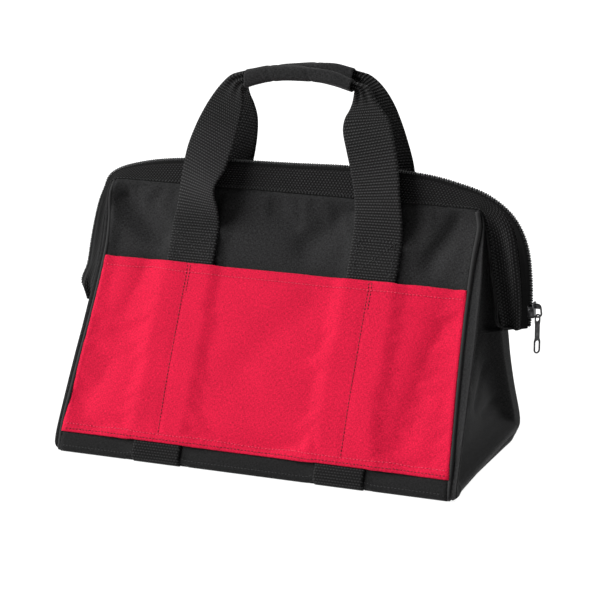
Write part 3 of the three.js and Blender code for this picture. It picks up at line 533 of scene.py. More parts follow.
def grid_normals(grid, outward):
    """Unit normals of a grid of points, turned to the side that mostly faces outward."""
    normals = unit(np.cross(np.gradient(grid, axis=1), np.gradient(grid, axis=0)))
    if (normals @ np.asarray(outward, float)).mean() < 0:
        normals = -normals
    return normals


def run(grid, axis):
    """Mean distance along one axis of a grid, from its first line to each line."""
    steps = np.linalg.norm(np.diff(grid, axis=axis), axis=2).mean(axis=1 - axis)
    return np.concatenate([[0], np.cumsum(steps)])


def refine(grid, axis, step, folds=()):
    """The grid on smooth curves along one axis, about a step apart, with sharp folds at some lines."""
    lines = np.moveaxis(grid, axis, 0)
    ends = [0, *folds, len(lines) - 1]
    parts = []
    for first, last in zip(ends[:-1], ends[1:]):
        piece = lines[first : last + 1]
        keys = run(piece, 0)
        count = max(1, round(keys[-1] / step))
        fine = through(keys, piece, np.linspace(0, keys[-1], count + 1))
        parts.append(fine if not parts else fine[1:])
    return np.moveaxis(np.concatenate(parts), 0, axis), [len(part) for part in parts]


def valley(away, width):
    """Depth of a soft valley, from 0 to 1, at a distance from its line."""
    return np.exp(-((away / width) ** 2))


def dent_depth(dents, x, z):
    """Depth of all the dents of a table at places on a cloth, each a soft valley along a line."""
    depth = np.zeros(np.broadcast(x, z).shape)
    for dent in dents.each():
        line = np.array([dent.x2 - dent.x1, dent.z2 - dent.z1])
        part = np.clip(((x - dent.x1) * line[0] + (z - dent.z1) * line[1]) / (line @ line), 0, 1)
        away = np.hypot(x - dent.x1 - part * line[0], z - dent.z1 - part * line[1])
        depth += (dent.depth * valley(away, dent.spread)) ** 3
    return np.cbrt(depth)


def soft_noise(points, size, seed):
    """Smooth uneven values from about -1 to 1 over a grid of points."""
    flat = points.reshape(-1, 3) / size + seed
    values = [noise.noise(Vector(point)) for point in flat]
    return np.array(values).reshape(points.shape[:-1])


def grid_quads(rows, columns, wrap=False, present=None):
    """Faces of a grid, joined round its columns if it wraps, without the cells left out."""
    quads = []
    for r in range(rows - 1):
        for c in range(columns if wrap else columns - 1):
            if present is not None and not present(r, c):
                continue
            d = (c + 1) % columns
            quads.append((r * columns + c, r * columns + d, (r + 1) * columns + d, (r + 1) * columns + c))
    return quads


def settle(grid, held, growth, limit):
    """Lets a sheet of cloth slacken between its held points, by a cloth simulation."""
    points = grid.reshape(-1, 3)
    mesh = bpy.data.meshes.new("settling")
    mesh.from_pydata((points * MM).tolist(), [], grid_quads(*grid.shape[:2]))
    cloth = bpy.data.objects.new("settling", mesh)
    bpy.context.scene.collection.objects.link(cloth)
    group = cloth.vertex_groups.new(name="held")
    group.add(np.flatnonzero(np.broadcast_to(held, grid.shape[:2])).tolist(), 1.0, "REPLACE")
    modifier = cloth.modifiers.new("Cloth", "CLOTH")
    for name, value in CLOTH_SETTINGS.items():
        setattr(modifier.settings, name, value)
    modifier.settings.shrink_min = -growth
    modifier.settings.vertex_group_mass = group.name
    modifier.collision_settings.use_collision = False
    modifier.point_cache.frame_start = 1
    modifier.point_cache.frame_end = SETTLE_FRAMES
    scene = bpy.context.scene
    for number in range(1, SETTLE_FRAMES + 1):
        scene.frame_set(number)
    settled = cloth.evaluated_get(bpy.context.evaluated_depsgraph_get()).data
    moved = np.empty(len(points) * 3)
    settled.vertices.foreach_get("co", moved)
    scene.frame_set(1)
    bpy.data.objects.remove(cloth)
    bpy.data.meshes.remove(mesh)
    shift = moved.reshape(-1, 3) / MM - points
    far = np.linalg.norm(shift, axis=1, keepdims=True)
    return (points + shift * np.minimum(1, limit / np.maximum(far, 1e-6))).reshape(grid.shape)


def make_object(name, points, faces, weave):
    """A smooth mesh object from points in millimetres, with the cloth's own coordinates on its points."""
    mesh = bpy.data.meshes.new(name)
    mesh.from_pydata((np.asarray(points) * MM).tolist(), [], [tuple(map(int, face)) for face in faces])
    layer = mesh.attributes.new("weave", "FLOAT_VECTOR", "POINT")
    layer.data.foreach_set("vector", np.asarray(weave, float).ravel())
    mesh.validate()
    shape = bmesh.new()
    shape.from_mesh(mesh)
    bmesh.ops.delete(shape, geom=[v for v in shape.verts if not v.link_faces], context="VERTS")
    return object_from(name, shape, mesh)


def object_from(name, shape, mesh=None):
    """A smooth object from an edited mesh, with its faces turned outward."""
    mesh = mesh or bpy.data.meshes.new(name)
    bmesh.ops.recalc_face_normals(shape, faces=shape.faces)
    shape.to_mesh(mesh)
    shape.free()
    mesh.shade_smooth()
    piece = bpy.data.objects.new(name, mesh)
    bpy.context.scene.collection.objects.link(piece)
    return piece


def shell(name, points, normals, quads, thick, weave, round_edge=CLOTH_EDGE):
    """A closed sheet with rounded edges: its outer points, and the same ones moved in by its thickness."""
    points = points.reshape(-1, 3)
    normals = normals.reshape(-1, 3)
    weave = weave.reshape(-1, 3)
    inner = points - normals * thick
    count = len(points)
    edges = dict.fromkeys(edge for quad in quads for edge in zip(quad, quad[1:] + quad[:1]))
    border = [(a, b) for a, b in edges if (b, a) not in edges]
    away = np.zeros_like(points)
    face_sign = border_sign(points, normals, quads)
    for a, b in border:
        across = np.cross(points[b] - points[a], normals[a] + normals[b]) * face_sign
        away[a] += across
        away[b] += across
    rim = sorted({a for edge in border for a in edge})
    rim_place = {a: 2 * count + i for i, a in enumerate(rim)}
    edge = (points + inner)[rim] / 2 + unit(away[rim]) * thick * round_edge
    faces = list(quads)
    faces += [tuple(count + i for i in reversed(quad)) for quad in quads]
    for a, b in border:
        faces.append((b, a, rim_place[a], rim_place[b]))
        faces.append((rim_place[b], rim_place[a], count + a, count + b))
    all_points = np.concatenate([points, inner, edge])
    all_weave = np.concatenate([weave, weave, weave[rim]])
    return make_object(name, all_points, faces, all_weave)


def border_sign(points, normals, quads):
    """Which way the faces of a sheet are wound, against its outward normals."""
    corners = points[np.array(quads)]
    wound = np.cross(corners[:, 2] - corners[:, 0], corners[:, 3] - corners[:, 1])
    return 1 if (wound * normals[np.array(quads)[:, 0]]).sum() > 0 else -1


def weave_of(across, along):
    """Coordinates on the cloth in millimetres, across and along its threads."""
    across, along = np.broadcast_arrays(np.asarray(across, float), np.asarray(along, float))
    return np.stack([across, along, np.zeros_like(across)], axis=-1)


def path_keys(points):
    """Distance along a path from its first point to each point."""
    return np.concatenate([[0], np.cumsum(np.linalg.norm(np.diff(points, axis=0), axis=1))])


def along_path(points, step):
    """Points on a smooth curve through others, a step apart, with their distance along it."""
    points = np.asarray(points, float)
    keys = path_keys(points)
    count = max(2, round(keys[-1] / step))
    at = np.linspace(0, keys[-1], count + 1)
    return through(keys, points, at), at


def tube_rings(path, radius, sides, reference):
    """Rings across a path, each set out from a reference direction."""
    tangent = unit(np.gradient(path, axis=0))
    second = unit(np.cross(tangent, np.asarray(reference, float)))
    first = np.cross(second, tangent)
    angle = np.linspace(0, 2 * math.pi, sides, endpoint=False)[None, :, None]
    radius = np.broadcast_to(np.asarray(radius, float), (len(path),))[:, None, None]
    ring = first[:, None] * np.cos(angle) + second[:, None] * np.sin(angle)
    return path[:, None] + radius * ring


def tube_faces(rings, sides):
    """Faces round a number of rings, with a flat face at each end."""
    last = (rings - 1) * sides
    ends = [tuple(range(sides))[::-1], tuple(last + i for i in range(sides))]
    return grid_quads(rings, sides, wrap=True) + ends


def tube(name, path, radius, sides, reference, lengths):
    """A closed cord along a path, with flat ends."""
    rings = tube_rings(path, radius, sides, reference)
    faces = tube_faces(len(rings), sides)
    round_it = np.linspace(0, 2 * math.pi * radius, sides)
    return make_object(name, rings.reshape(-1, 3), faces, weave_of(round_it[None, :], lengths[:, None]))


class Threads:
    """Many short closed bars gathered into one mesh."""

    def __init__(self):
        self.points = []
        self.faces = []
        self.weave = []

    def bar(self, path, radius, sides, reference):
        """A bar along a short path, closed by a point at each end."""
        rings = tube_rings(path, radius, sides, reference)
        start = sum(len(part) for part in self.points)
        count = len(rings)
        for quad in grid_quads(count, sides, wrap=True):
            self.faces.append(tuple(start + i for i in quad))
        tips = start + count * sides
        last = start + (count - 1) * sides
        for i in range(sides):
            j = (i + 1) % sides
            self.faces.append((tips, start + j, start + i))
            self.faces.append((tips + 1, last + i, last + j))
        reach = np.max(radius) * BAR_TIP
        ends = np.stack([
            path[0] - unit(path[1] - path[0]) * reach,
            path[-1] + unit(path[-1] - path[-2]) * reach,
        ])
        self.points.append(np.concatenate([rings.reshape(-1, 3), ends]))
        turn = np.tile(np.arange(sides), count)
        line = np.repeat(np.arange(count), sides)
        self.weave.append(np.concatenate([weave_of(turn, line), np.zeros((2, 3))]))

    def row(self, points, normals, pitch, radius):
        """Stitches along a line on a cloth, each raised in its middle and sunk at its ends."""
        lift = radius * STITCH_FORM.column("lift")[:, None]
        thick = radius * STITCH_FORM.column("thick")
        keys = path_keys(points)
        count = max(1, round(keys[-1] / pitch))
        pitch = keys[-1] / count
        for i in range(count):
            at = (i + 0.5) * pitch + STITCH_FORM.column("at") * STITCH_SHARE * pitch
            spot = np.stack([np.interp(at, keys, points[:, k]) for k in range(3)], axis=1)
            up = np.stack([np.interp(at, keys, normals[:, k]) for k in range(3)], axis=1)
            self.bar(spot + unit(up) * lift, thick, STITCH_SIDES, up.mean(axis=0))

    def make(self, name):
        return make_object(name, np.concatenate(self.points), self.faces, np.concatenate(self.weave))


def wall_depth(face, z):
    low = face.wall.column("y")[0] + FOOT_SLOPE * (FOLD_TOP_Z - z)
    return np.where(z < FOLD_TOP_Z, low, face.wall.at("y", z))


def wall_edges(face, z):
    """Places of a wall's left and right edges at a height."""
    half = face.wall.at("half", z)
    left = LEFT_TUCK * (1 - smoothstep(z, *LEFT_TUCK_FADE)) - half
    tuck = BACK_TUCK if face.facing > 0 else 0
    return left, half - tuck * (1 - smoothstep(z, *BACK_TUCK_FADE))


def across_wall(face, part, z):
    left, right = wall_edges(face, z)
    return lerp(left, right, (part + 1) / 2)


def part_across(face, x, z):
    """Part of a wall's half width at places across it."""
    left, right = wall_edges(face, z)
    return 2 * (x - left) / (right - left) - 1


def from_strap(x):
    """Distance across from the middle of the nearer strap."""
    return np.abs(np.abs(x) - STRAP_X)


def edge_reach(face, side, z):
    left, right = wall_edges(face, z)
    return float(right if side == "right" else -left)


@functools.cache
def wall(name):
    """The outer surface of the front or back panel, keyed by height and by part of the half width."""
    face = FACES[name]
    angles = np.linspace(0, FOLD_END, FOLD_ROWS + 1)[:-1]
    fold_y = face.fold_centre + face.fold_radius * np.sin(angles)
    fold_z = GROOVE_DEPTH + face.fold_radius * (1 - np.cos(angles))
    start = GROOVE_DEPTH + face.fold_radius * (1 - math.cos(FOLD_END))
    face_z = np.linspace(start, SEAM_Z, WALL_ROWS)
    z = np.concatenate([fold_z, face_z])[:, None]
    out = np.concatenate([fold_y, wall_depth(face, face_z)])[:, None]
    part = np.linspace(-1, 1, WALL_COLUMNS)[None, :]
    x = across_wall(face, part, z)
    rise = np.clip((z - FOLD_TOP_Z) / (SEAM_Z - FOLD_TOP_Z), 0, 1)
    bulge = WALL_BULGE * (1 - part**2) * np.sin(math.pi * rise)
    calm = smoothstep(rise, 0, DENT_START) * (1 - smoothstep(rise, DENT_END, 1))
    y = face.facing * (out + bulge - calm * dent_depth(face.dents, x, z))
    beside = from_strap(x) - WEBBING_WIDTH / 2
    low = 1 - smoothstep(z, GROOVE_DEPTH, FOOT_DROP_TOP)
    drop = FOOT_DROP * smoothstep(beside, *FOOT_DROP_BESIDE) * low
    grid = np.stack(np.broadcast_arrays(x, y, z - drop), axis=-1)
    sewn = (beside < HELD_MARGIN) & (z < SEWN_TOP_Z + HELD_MARGIN)
    edges = (z < FOLD_TOP_Z + HELD_MARGIN) | (np.abs(part) > HELD_SIDE) | (z > SEAM_Z - HELD_TOP)
    settled = settle(grid, edges | sewn, WALL_GROWTH, WALL_SLACK)
    return Patch(settled, (0, face.facing, 0), z[:, 0], part[0])


def on_wall(name, x, z, lift=0.0):
    """Points and normals on a panel at places across and up, lifted off it."""
    x = np.asarray(x, float)
    z = np.asarray(z, float)
    points, normals = wall(name).read(z, part_across(FACES[name], x, z))
    return points + normals * np.asarray(lift, float)[..., None], normals


def edge_depth(face, z, inset):
    """Depth of a wall's side edge at a height, moved in by an inset, round the bottom fold too."""
    if z >= FOLD_TOP_Z:
        return float(face.wall.at("y", z)) - inset
    slope = face.wall.column("y")[0] + FOOT_SLOPE * (FOLD_TOP_Z - z) - inset * math.hypot(1, FOOT_SLOPE)
    radius = max(face.fold_radius - inset, GAP)
    below = min(1, max(-1, (GROOVE_DEPTH + face.fold_radius - z) / radius))
    on_fold = face.fold_centre + radius * math.sqrt(1 - below * below)
    return on_fold if below > 0 else min(slope, face.fold_centre + radius)


def rolled_edge(side, name, z):
    """The gusset's rolled edge behind a wall's side edge, from the sewn edge to the roll's inner fold."""
    face = FACES[name]
    start = edge_reach(face, side, z) + GAP + GUSSET_CLOTH
    depth = float(ROLL_EDGE.at("depth", z))
    front = edge_depth(face, z, float(ROLL_EDGE.at("inset", z)))
    reach = float(ROLL_EDGE.at(f"{side}_{name}", z))
    closed = float(smoothstep(z, *ROLL_OPEN_Z))
    x = start + lerp(ROLL_SECTION.column("open"), ROLL_SECTION.column("roll"), closed) * reach
    flare = closed * ROLL_FLARE.get((side, name), 0) * reach * ROLL_SECTION.column("flare")
    y = face.facing * (front - ROLL_SECTION.column("depth") * depth + flare)
    return np.stack([x, y, np.full(len(x), z)], axis=1)


def tape_edge(facing, station):
    return np.array([station.zip_x, MOUTH_Y + facing * TAPE_EDGE, station.zip_z])


def band_seam(side, name, station):
    """Where the band is sewn on: the wall's top edge, then a line down the fin's face."""
    face = FACES[name]
    if station.seam_z >= CORNER_Z:
        return np.array([station.seam_x, face.facing * float(face.wall.at("y", SEAM_Z)), station.seam_z])
    fold = rolled_edge(side, name, station.seam_z)[-1]
    zip_point = tape_edge(face.facing, station)
    part = min(1, max(0, (station.seam_x - fold[0]) / (zip_point[0] - fold[0])))
    return np.array([station.seam_x, lerp(fold[1], zip_point[1], part), station.seam_z])


def lower_row(side, name, z, recess, drop):
    edge = rolled_edge(side, name, z)
    edge[1:-1, 2] = z - drop * ROLL_DROP.get((side, name), 0)
    ends = [edge_reach(face, side, z) for face in FACES.values()]
    level = sum(ends) / 2 - edge_reach(FACES[name], side, z)
    inward = 1 - RECESS_COLUMNS.column("depth")
    out = -RECESS_COLUMNS.column("recess") * recess
    if recess < 0:
        out = lerp(out, edge[-1, 0] - edge[0, 0], RECESS_COLUMNS.column("lip"))
    middle = np.stack([
        edge[0, 0] + inward * level + out,
        edge[-1, 1] * RECESS_COLUMNS.column("depth"),
        np.full(3, z),
    ], axis=1)
    return np.concatenate([edge, middle])


def crease_row(side, name, station):
    z = station.seam_z - SHELF_DROP
    edge = rolled_edge(side, name, z)
    tip = tape_edge(FACES[name].facing, station)
    tip[0] -= 2 * COIL_RADIUS
    tip[2] = z
    return np.concatenate([edge, [lerp(edge[-1], tip, part) for part in FIN_COLUMNS]])


def fin_row(side, name, station):
    edge = rolled_edge(side, name, station.seam_z)
    seam = band_seam(side, name, station)
    hollow = FIN_HOLLOW[side] * min(1, np.linalg.norm(seam - edge[-1]) / FIN_HOLLOW_WIDTH)
    line = np.array([lerp(edge[-1], seam, part) for part in FIN_COLUMNS])
    line[0, 1] -= FACES[name].facing * hollow
    line[1, 1] -= FIN_HOLLOW_OUTER * FACES[name].facing * hollow
    return np.concatenate([edge, line])


def gusset_rows(side, make_half, *values):
    near = make_half(side, "front", *values)
    far = make_half(side, "back", *values)
    row = np.concatenate([near, far[::-1]])
    row[:, 0] *= SIDES[side]
    return row


def gusset(side):
    """One end of the bag: rolled at its edges, drawn in below and pushed out as a fin above."""
    fin = [station for station in MOUTHS[side].each() if station.seam_z < CORNER_Z][::-1]
    shelf_z = fin[0].seam_z - 2 * SHELF_DROP
    rows = [gusset_rows(side, lower_row, *row) for row in GUSSET_ROWS.rows]
    rows.append(gusset_rows(side, lower_row, shelf_z, SHELF_RECESS, 0))
    rows.append(gusset_rows(side, crease_row, fin[0]))
    rows += [gusset_rows(side, fin_row, station) for station in fin]
    rows.append(rows[-1] * (FIN_TOP_PART, FIN_TOP_PART, 1) + (0, 0, FIN_TOP_RISE))
    coarse = np.array(rows)
    shelf_row = len(GUSSET_ROWS.rows)
    grid, row_parts = refine(coarse, 0, GUSSET_STEPS[0], [ROLL_FOLD_ROW, shelf_row, shelf_row + 1])
    inner = ROLL_POINTS - 1
    last = coarse.shape[1] - 1
    folds = [ROLL_CREST, inner, inner + 3]
    folds += [last - fold for fold in folds[::-1]]
    grid, column_parts = refine(grid, 1, GUSSET_STEPS[1], folds)
    lower = sum(row_parts[:2])
    dent = dent_depth(GUSSET_DENTS, grid[:lower, :, 1], grid[:lower, :, 2])
    first = sum(column_parts[:2])
    last = sum(column_parts[:5])
    middle = grid.shape[1] // 2
    inside = np.zeros(grid.shape[1])
    inside[first:last] = np.sin(np.linspace(0, math.pi, last - first)) ** 0.5
    fade = smoothstep(grid[:lower, middle, 2], *GUSSET_DENT_FADE)
    fade = fade * (1 - smoothstep(np.arange(lower), lower - GUSSET_DENT_ROWS, lower - 1))
    grid[:lower, :, 0] -= SIDES[side] * dent * inside * fade[:, None]
    return grid, row_parts, column_parts


def along_mouth(place):
    """What is placed at each station of the mouth, from the left fin's end to the right one's."""
    found = {side: [place(side, station) for station in MOUTHS[side].each()] for side in SIDES}
    return found["left"][:0:-1] + found["right"]


def mouth_stations(name):
    """The sewn edge and the zip edge of one face at each station of the mouth."""

    def edges(side, station):
        mirror = (SIDES[side], 1, 1)
        return band_seam(side, name, station) * mirror, tape_edge(FACES[name].facing, station) * mirror

    return along_mouth(edges)


def mouth_grid(name, parts):
    """Rows across the band or the zip tape at each station: 0 at the sewn edge and 1 at the zip."""
    facing = FACES[name].facing
    stations = mouth_stations(name)
    rows = []
    for i, (seam, zip_point) in enumerate(stations):
        drop = FIN_END_DROP if i in (0, len(stations) - 1) else 0
        down = smoothstep(SEAM_Z - seam[2], *FIN_FOLD_FADE)
        start = SEAM_CLEARANCE / np.linalg.norm(zip_point - seam)
        middle = (BAND_END + TAPE_START) / 2
        split = lerp(BAND_TOP_SPLIT, middle, down)
        spread = np.interp(parts, (0, middle, 1), (0, split, 1))
        part = np.maximum(spread, start)[:, None]
        row = lerp(seam, zip_point, part)
        row[:, 2] -= drop
        side = "left" if seam[0] < 0 else "right"
        fold = lerp(FIN_END_FOLD[side], FIN_FOLD[side], smoothstep(seam[2], *FIN_END_FADE))
        row[:, 1] += facing * fold * down * FIN_FOLDS.at("out", part[:, 0])
        rows.append(row)
    return np.array(rows)


def coil_path():
    """The zip's line along the ridge and down both fins."""

    def tooth(side, station):
        out = unit(np.array([station.zip_x - station.seam_x, station.zip_z - station.seam_z]))
        return SIDES[side] * (station.zip_x + out[0] * GAP), MOUTH_Y, station.zip_z + out[1] * GAP

    return np.array(along_mouth(tooth))


def strap_sections(leg):
    """Centre, turn and width of each section of a free leg."""
    centre = np.stack([leg.column(name) for name in "xyz"], axis=1)
    return centre, leg.column("turn"), leg.column("width")


def grip_stations(grip, inset, count):
    keys = grip.column("x")
    x = np.linspace(keys[0] + inset, keys[-1] - inset, count)
    centre = np.stack([x, np.full(count, grip.column("y")[0]), grip.at("z", x)], axis=1)
    return centre, grip.at("rise", x)


STRAP_COLUMNS = 25
STRAP_STEP = 2.4
UNDER_ROWS = 5
UNDER_END = 4
CLIMB_START = 20
CLIMB_STEP = 8
GRIP_SECTIONS = 10
PLEATS = 2.5
PLEAT_DEPTH = 1
GATHER_FADE = (14, 28)


def strap_rows(name, side):
    """Outer rows of one half of a strap: under the base and up the wall, with its normals."""
    face = FACES[name]
    middle = SIDES[side] * STRAP_X
    x = middle + np.linspace(-0.5, 0.5, STRAP_COLUMNS) * WEBBING_WIDTH
    rows = []
    normals = []
    for y in np.linspace(GAP / 2, face.fold_centre - UNDER_END, UNDER_ROWS):
        rows.append(np.stack([x, np.full_like(x, face.facing * y), np.zeros_like(x)], axis=1))
        normals.append(np.tile([0.0, 0.0, -1.0], (STRAP_COLUMNS, 1)))
    patch = wall(name)
    climb = np.arange(CLIMB_START, SEWN_TOP_Z + 1, CLIMB_STEP)
    levels = np.concatenate([patch.rows[: FOLD_ROWS + 1], climb])
    for z in levels:
        points, normal = on_wall(name, x, np.full_like(x, z), GAP + WEBBING)
        rows.append(points)
        normals.append(normal)
    return rows, normals


def free_rows(face, centre, turn, width, before, after):
    """Outer rows of the free strap, flat on the leg and gathered in pleats towards the grip."""
    path = np.concatenate([[before], centre, [after]])
    tangent = path[2:] - path[:-2]
    tangent[:, 1] = 0
    tangent = unit(tangent)
    across = np.stack([tangent[:, 2], np.zeros(len(centre)), -tangent[:, 0]], axis=1)
    outward = np.tile([0.0, float(face.facing), 0.0], (len(centre), 1))
    angle = np.radians(turn)[:, None]
    wide = across * np.cos(angle) + np.cross(tangent, across) * np.sin(angle)
    out = outward * np.cos(angle) + np.cross(tangent, outward) * np.sin(angle)
    offset = np.linspace(-0.5, 0.5, STRAP_COLUMNS)
    gathered = smoothstep(WEBBING_WIDTH - width, *GATHER_FADE)[:, None]
    depth = PLEAT_DEPTH * gathered * np.cos(2 * math.pi * PLEATS * offset)[None, :]
    lift = WEBBING / 2 + depth
    rows = centre[:, None] + wide[:, None] * (offset[None, :] * width[:, None])[..., None]
    rows = rows + out[:, None] * lift[..., None]
    return list(rows), list(np.repeat(out[:, None], STRAP_COLUMNS, axis=1))


def strap(name):
    """The whole strap of one face as a grid: up the left leg, through the grip and down the right leg."""
    face = FACES[name]
    centre, rise = grip_stations(face.grip, 0, GRIP_SECTIONS)
    bundle = 2 * BUNDLE_PART * (rise - SLEEVE_CLOTH - GAP)
    left_centre, left_turn, left_width = strap_sections(face.leg_left)
    right_centre, right_turn, right_width = strap_sections(face.leg_right)
    rows, normals = strap_rows(name, "left")
    path = np.concatenate([left_centre, centre])
    turn = np.concatenate([left_turn, np.zeros(len(centre))])
    width = np.concatenate([left_width, bundle])
    free, free_normals = free_rows(face, path, turn, width, rows[-1].mean(axis=0), right_centre[-1])
    rows += free
    normals += free_normals
    right, right_normals = strap_rows(name, "right")
    last = right[-1].mean(axis=0)
    free, free_normals = free_rows(face, right_centre, right_turn, right_width, last, centre[-1])
    right += free
    right_normals += free_normals
    rows += [row[::-1] for row in right[::-1]]
    normals += [row[::-1] for row in right_normals[::-1]]
    grid = np.array(rows)
    keys = run(grid, 0)
    at = np.linspace(0, keys[-1], round(keys[-1] / STRAP_STEP))
    return through(keys, grid, at), unit(through(keys, np.array(normals), at)), at


def sleeve(name):
    """Rings of a grip's sleeve, a flattened tube with soft creases."""
    centre, rise = grip_stations(FACES[name].grip, SLEEVE_INSET, SLEEVE_RINGS)
    angle = np.linspace(0, 2 * math.pi, SLEEVE_SIDES, endpoint=False)[None, :]
    across = np.sign(np.cos(angle)) * np.abs(np.cos(angle)) ** SLEEVE_SQUARE
    up = np.sign(np.sin(angle)) * np.abs(np.sin(angle)) ** SLEEVE_SQUARE
    turn = SLEEVE_TURN * smoothstep(centre[:, :1], *SLEEVE_TURN_SPAN)
    y = centre[:, 1:2] + GRIP_DEPTH * (across * np.cos(turn) - up * np.sin(turn))
    z = centre[:, 2:3] + rise[:, None] * (up * np.cos(turn) + across * np.sin(turn))
    rings = np.stack(np.broadcast_arrays(centre[:, :1], y, z), axis=-1)
    inward = unit(centre[:, None] - rings)
    uneven = soft_noise(rings * SLEEVE_NOISE.stretch, SLEEVE_NOISE.size, SLEEVE_NOISE.seed)
    crease = uneven * SLEEVE_NOISE.depth - SLEEVE_NOISE.sink
    for x in SLEEVE_CREASES:
        away = centre[:, :1] - x + SLEEVE_LEAN * (z - centre[:, 2:3])
        crease = crease - SLEEVE_CREASE * valley(away, SLEEVE_CREASE_WIDTH)
    return rings - inward * crease[..., None]


class Nodes:
    """A short way to add linked nodes to a node tree."""

    def __init__(self, tree):
        self.tree = tree

    def add(self, kind, inputs=None, **settings):
        node = self.tree.nodes.new(kind)
        for key, value in settings.items():
            setattr(node, key, value)
        for key, value in (inputs or {}).items():
            if isinstance(value, bpy.types.NodeSocket):
                self.tree.links.new(value, node.inputs[key])
            else:
                node.inputs[key].default_value = value
        return node

    def math(self, operation, *values):
        return self.add("ShaderNodeMath", dict(enumerate(values)), operation=operation).outputs[0]

    def noise(self, place, scale, detail):
        inputs = {"Vector": place, "Scale": scale, "Detail": detail}
        return self.add("ShaderNodeTexNoise", inputs).outputs["Fac"]

    def spread(self, value, **ends):
        """A value spread from one span to another, with ends named as on the node."""
        inputs = {name.replace("_", " ").title(): end for name, end in ends.items()}
        return self.add("ShaderNodeMapRange", {"Value": value, **inputs}).outputs["Result"]

    def mix(self, factor, first, second, **settings):
        """A blend of two colours, each given as a value or a socket."""
        inputs = {"Factor": factor, "A": first, "B": second}
        node = self.add("ShaderNodeMix", inputs, data_type="RGBA", **settings)
        return next(socket for socket in node.outputs if socket.type == "RGBA")

    def link(self, source, target):
        self.tree.links.new(source, target)


def new_group(name, inputs, outputs):
    """A shader node group with named sockets, and the nodes that stand for them."""
    tree = bpy.data.node_groups.new(name, "ShaderNodeTree")
    for socket, kind, default in inputs:
        made = tree.interface.new_socket(socket, in_out="INPUT", socket_type="NodeSocket" + kind)
        if default is not None:
            made.default_value = default
    for socket, kind in outputs:
        tree.interface.new_socket(socket, in_out="OUTPUT", socket_type="NodeSocket" + kind)
    nodes = Nodes(tree)
    start = nodes.add("NodeGroupInput")
    end = nodes.add("NodeGroupOutput")
    return tree, nodes, start.outputs, end.inputs


# How far one thread lifts over another, and how round the ribs' threads and rows are
CROSSING_LIFT = 0.35
RIB_POWERS = (2.2, 2.6)


def plain_weave_group():
    """Threads that go over and under each other, with a height and a mask of the gaps between them."""
    tree, nodes, given, out = new_group(
        "Plain weave",
        [("Coordinates", "Vector", None), ("Pitch", "Float", 0.6)],
        [("Height", "Float"), ("Gap", "Float")],
    )
    axes = nodes.add("ShaderNodeSeparateXYZ", {0: given["Coordinates"]}).outputs
    waves = []
    for axis in ("X", "Y"):
        turns = nodes.math("DIVIDE", axes[axis], given["Pitch"])
        waves.append(nodes.math("SINE", nodes.math("MULTIPLY", turns, math.pi)))
    crossing = nodes.math("MULTIPLY", *waves)
    sizes = [nodes.math("ABSOLUTE", wave) for wave in waves]
    open_part = nodes.math("MINIMUM", *sizes)
    nodes.link(nodes.math("MULTIPLY_ADD", crossing, CROSSING_LIFT, open_part), out["Height"])
    nodes.link(nodes.math("SUBTRACT", 1.0, nodes.math("POWER", open_part, 0.5)), out["Gap"])
    return tree


def ribbed_weave_group():
    """Ribs across the cloth, each a row of short raised threads, every other row moved by half a thread."""
    tree, nodes, given, out = new_group(
        "Ribbed weave",
        [
            ("Coordinates", "Vector", None),
            ("Thread", "Float", 1.8),
            ("Rib", "Float", 2.0),
            ("Dots", "Float", 0.5),
        ],
        [("Height", "Float"), ("Gap", "Float")],
    )
    axes = nodes.add("ShaderNodeSeparateXYZ", {0: given["Coordinates"]}).outputs
    along = nodes.math("DIVIDE", axes["Y"], given["Rib"])
    row = nodes.math("FLOOR", along)
    odd = nodes.math("MODULO", nodes.math("ABSOLUTE", row), 2.0)
    across = nodes.math("DIVIDE", axes["X"], given["Thread"])
    across = nodes.math("MULTIPLY_ADD", odd, 0.5, across)
    humps = []
    for turns, power in zip((across, along), RIB_POWERS):
        wave = nodes.math("SINE", nodes.math("MULTIPLY", nodes.math("FRACT", turns), math.pi))
        humps.append(nodes.math("POWER", nodes.math("MAXIMUM", wave, 0.0), power))
    low = nodes.math("SUBTRACT", 1.0, given["Dots"])
    dotted = nodes.math("MULTIPLY_ADD", humps[0], given["Dots"], low)
    height = nodes.math("MULTIPLY", dotted, humps[1])
    nodes.link(height, out["Height"])
    nodes.link(nodes.math("SUBTRACT", 1.0, height), out["Gap"])
    return tree


# Thick and thin places of the threads, as noise drawn out along each way of the weave
SLUB_STRETCH = ((0.5, 1.9, 1), (1.9, 0.5, 1))
SLUB_STRENGTH = 0.85
# Heights between which the painted shade at the foot fades out
FOOT_SHADE_Z = (13, 22)
# Uneven dye and dust, by noise scales per millimetre, and roughness as a part of the grain and a base value
DYE_SCALE = 0.03
DYE_STRENGTH = 0.25
DARKEST = 0.08
DUST_SCALE = 0.012
DUST_COLOUR = (0.3, 0.29, 0.28, 1)
DUSTY_FROM = 0.5
DUSTY_FULL = 0.8
CLOTH_ROUGHNESS = (0.15, 0.78)
SHEEN_ROUGHNESS = 0.45
# Fine grain and broad wear of the metal, by noise scales per metre
METAL_SCALES = (2600.0, 260.0)
METAL_ROUGHNESS = (0.25, 0.25)
METAL_WORN_FROM = 0.5
METAL_WORN_FULL = 0.75
METAL_BUMP = 0.15
METAL_BUMP_DEPTH = 0.05
METALLIC = 0.85


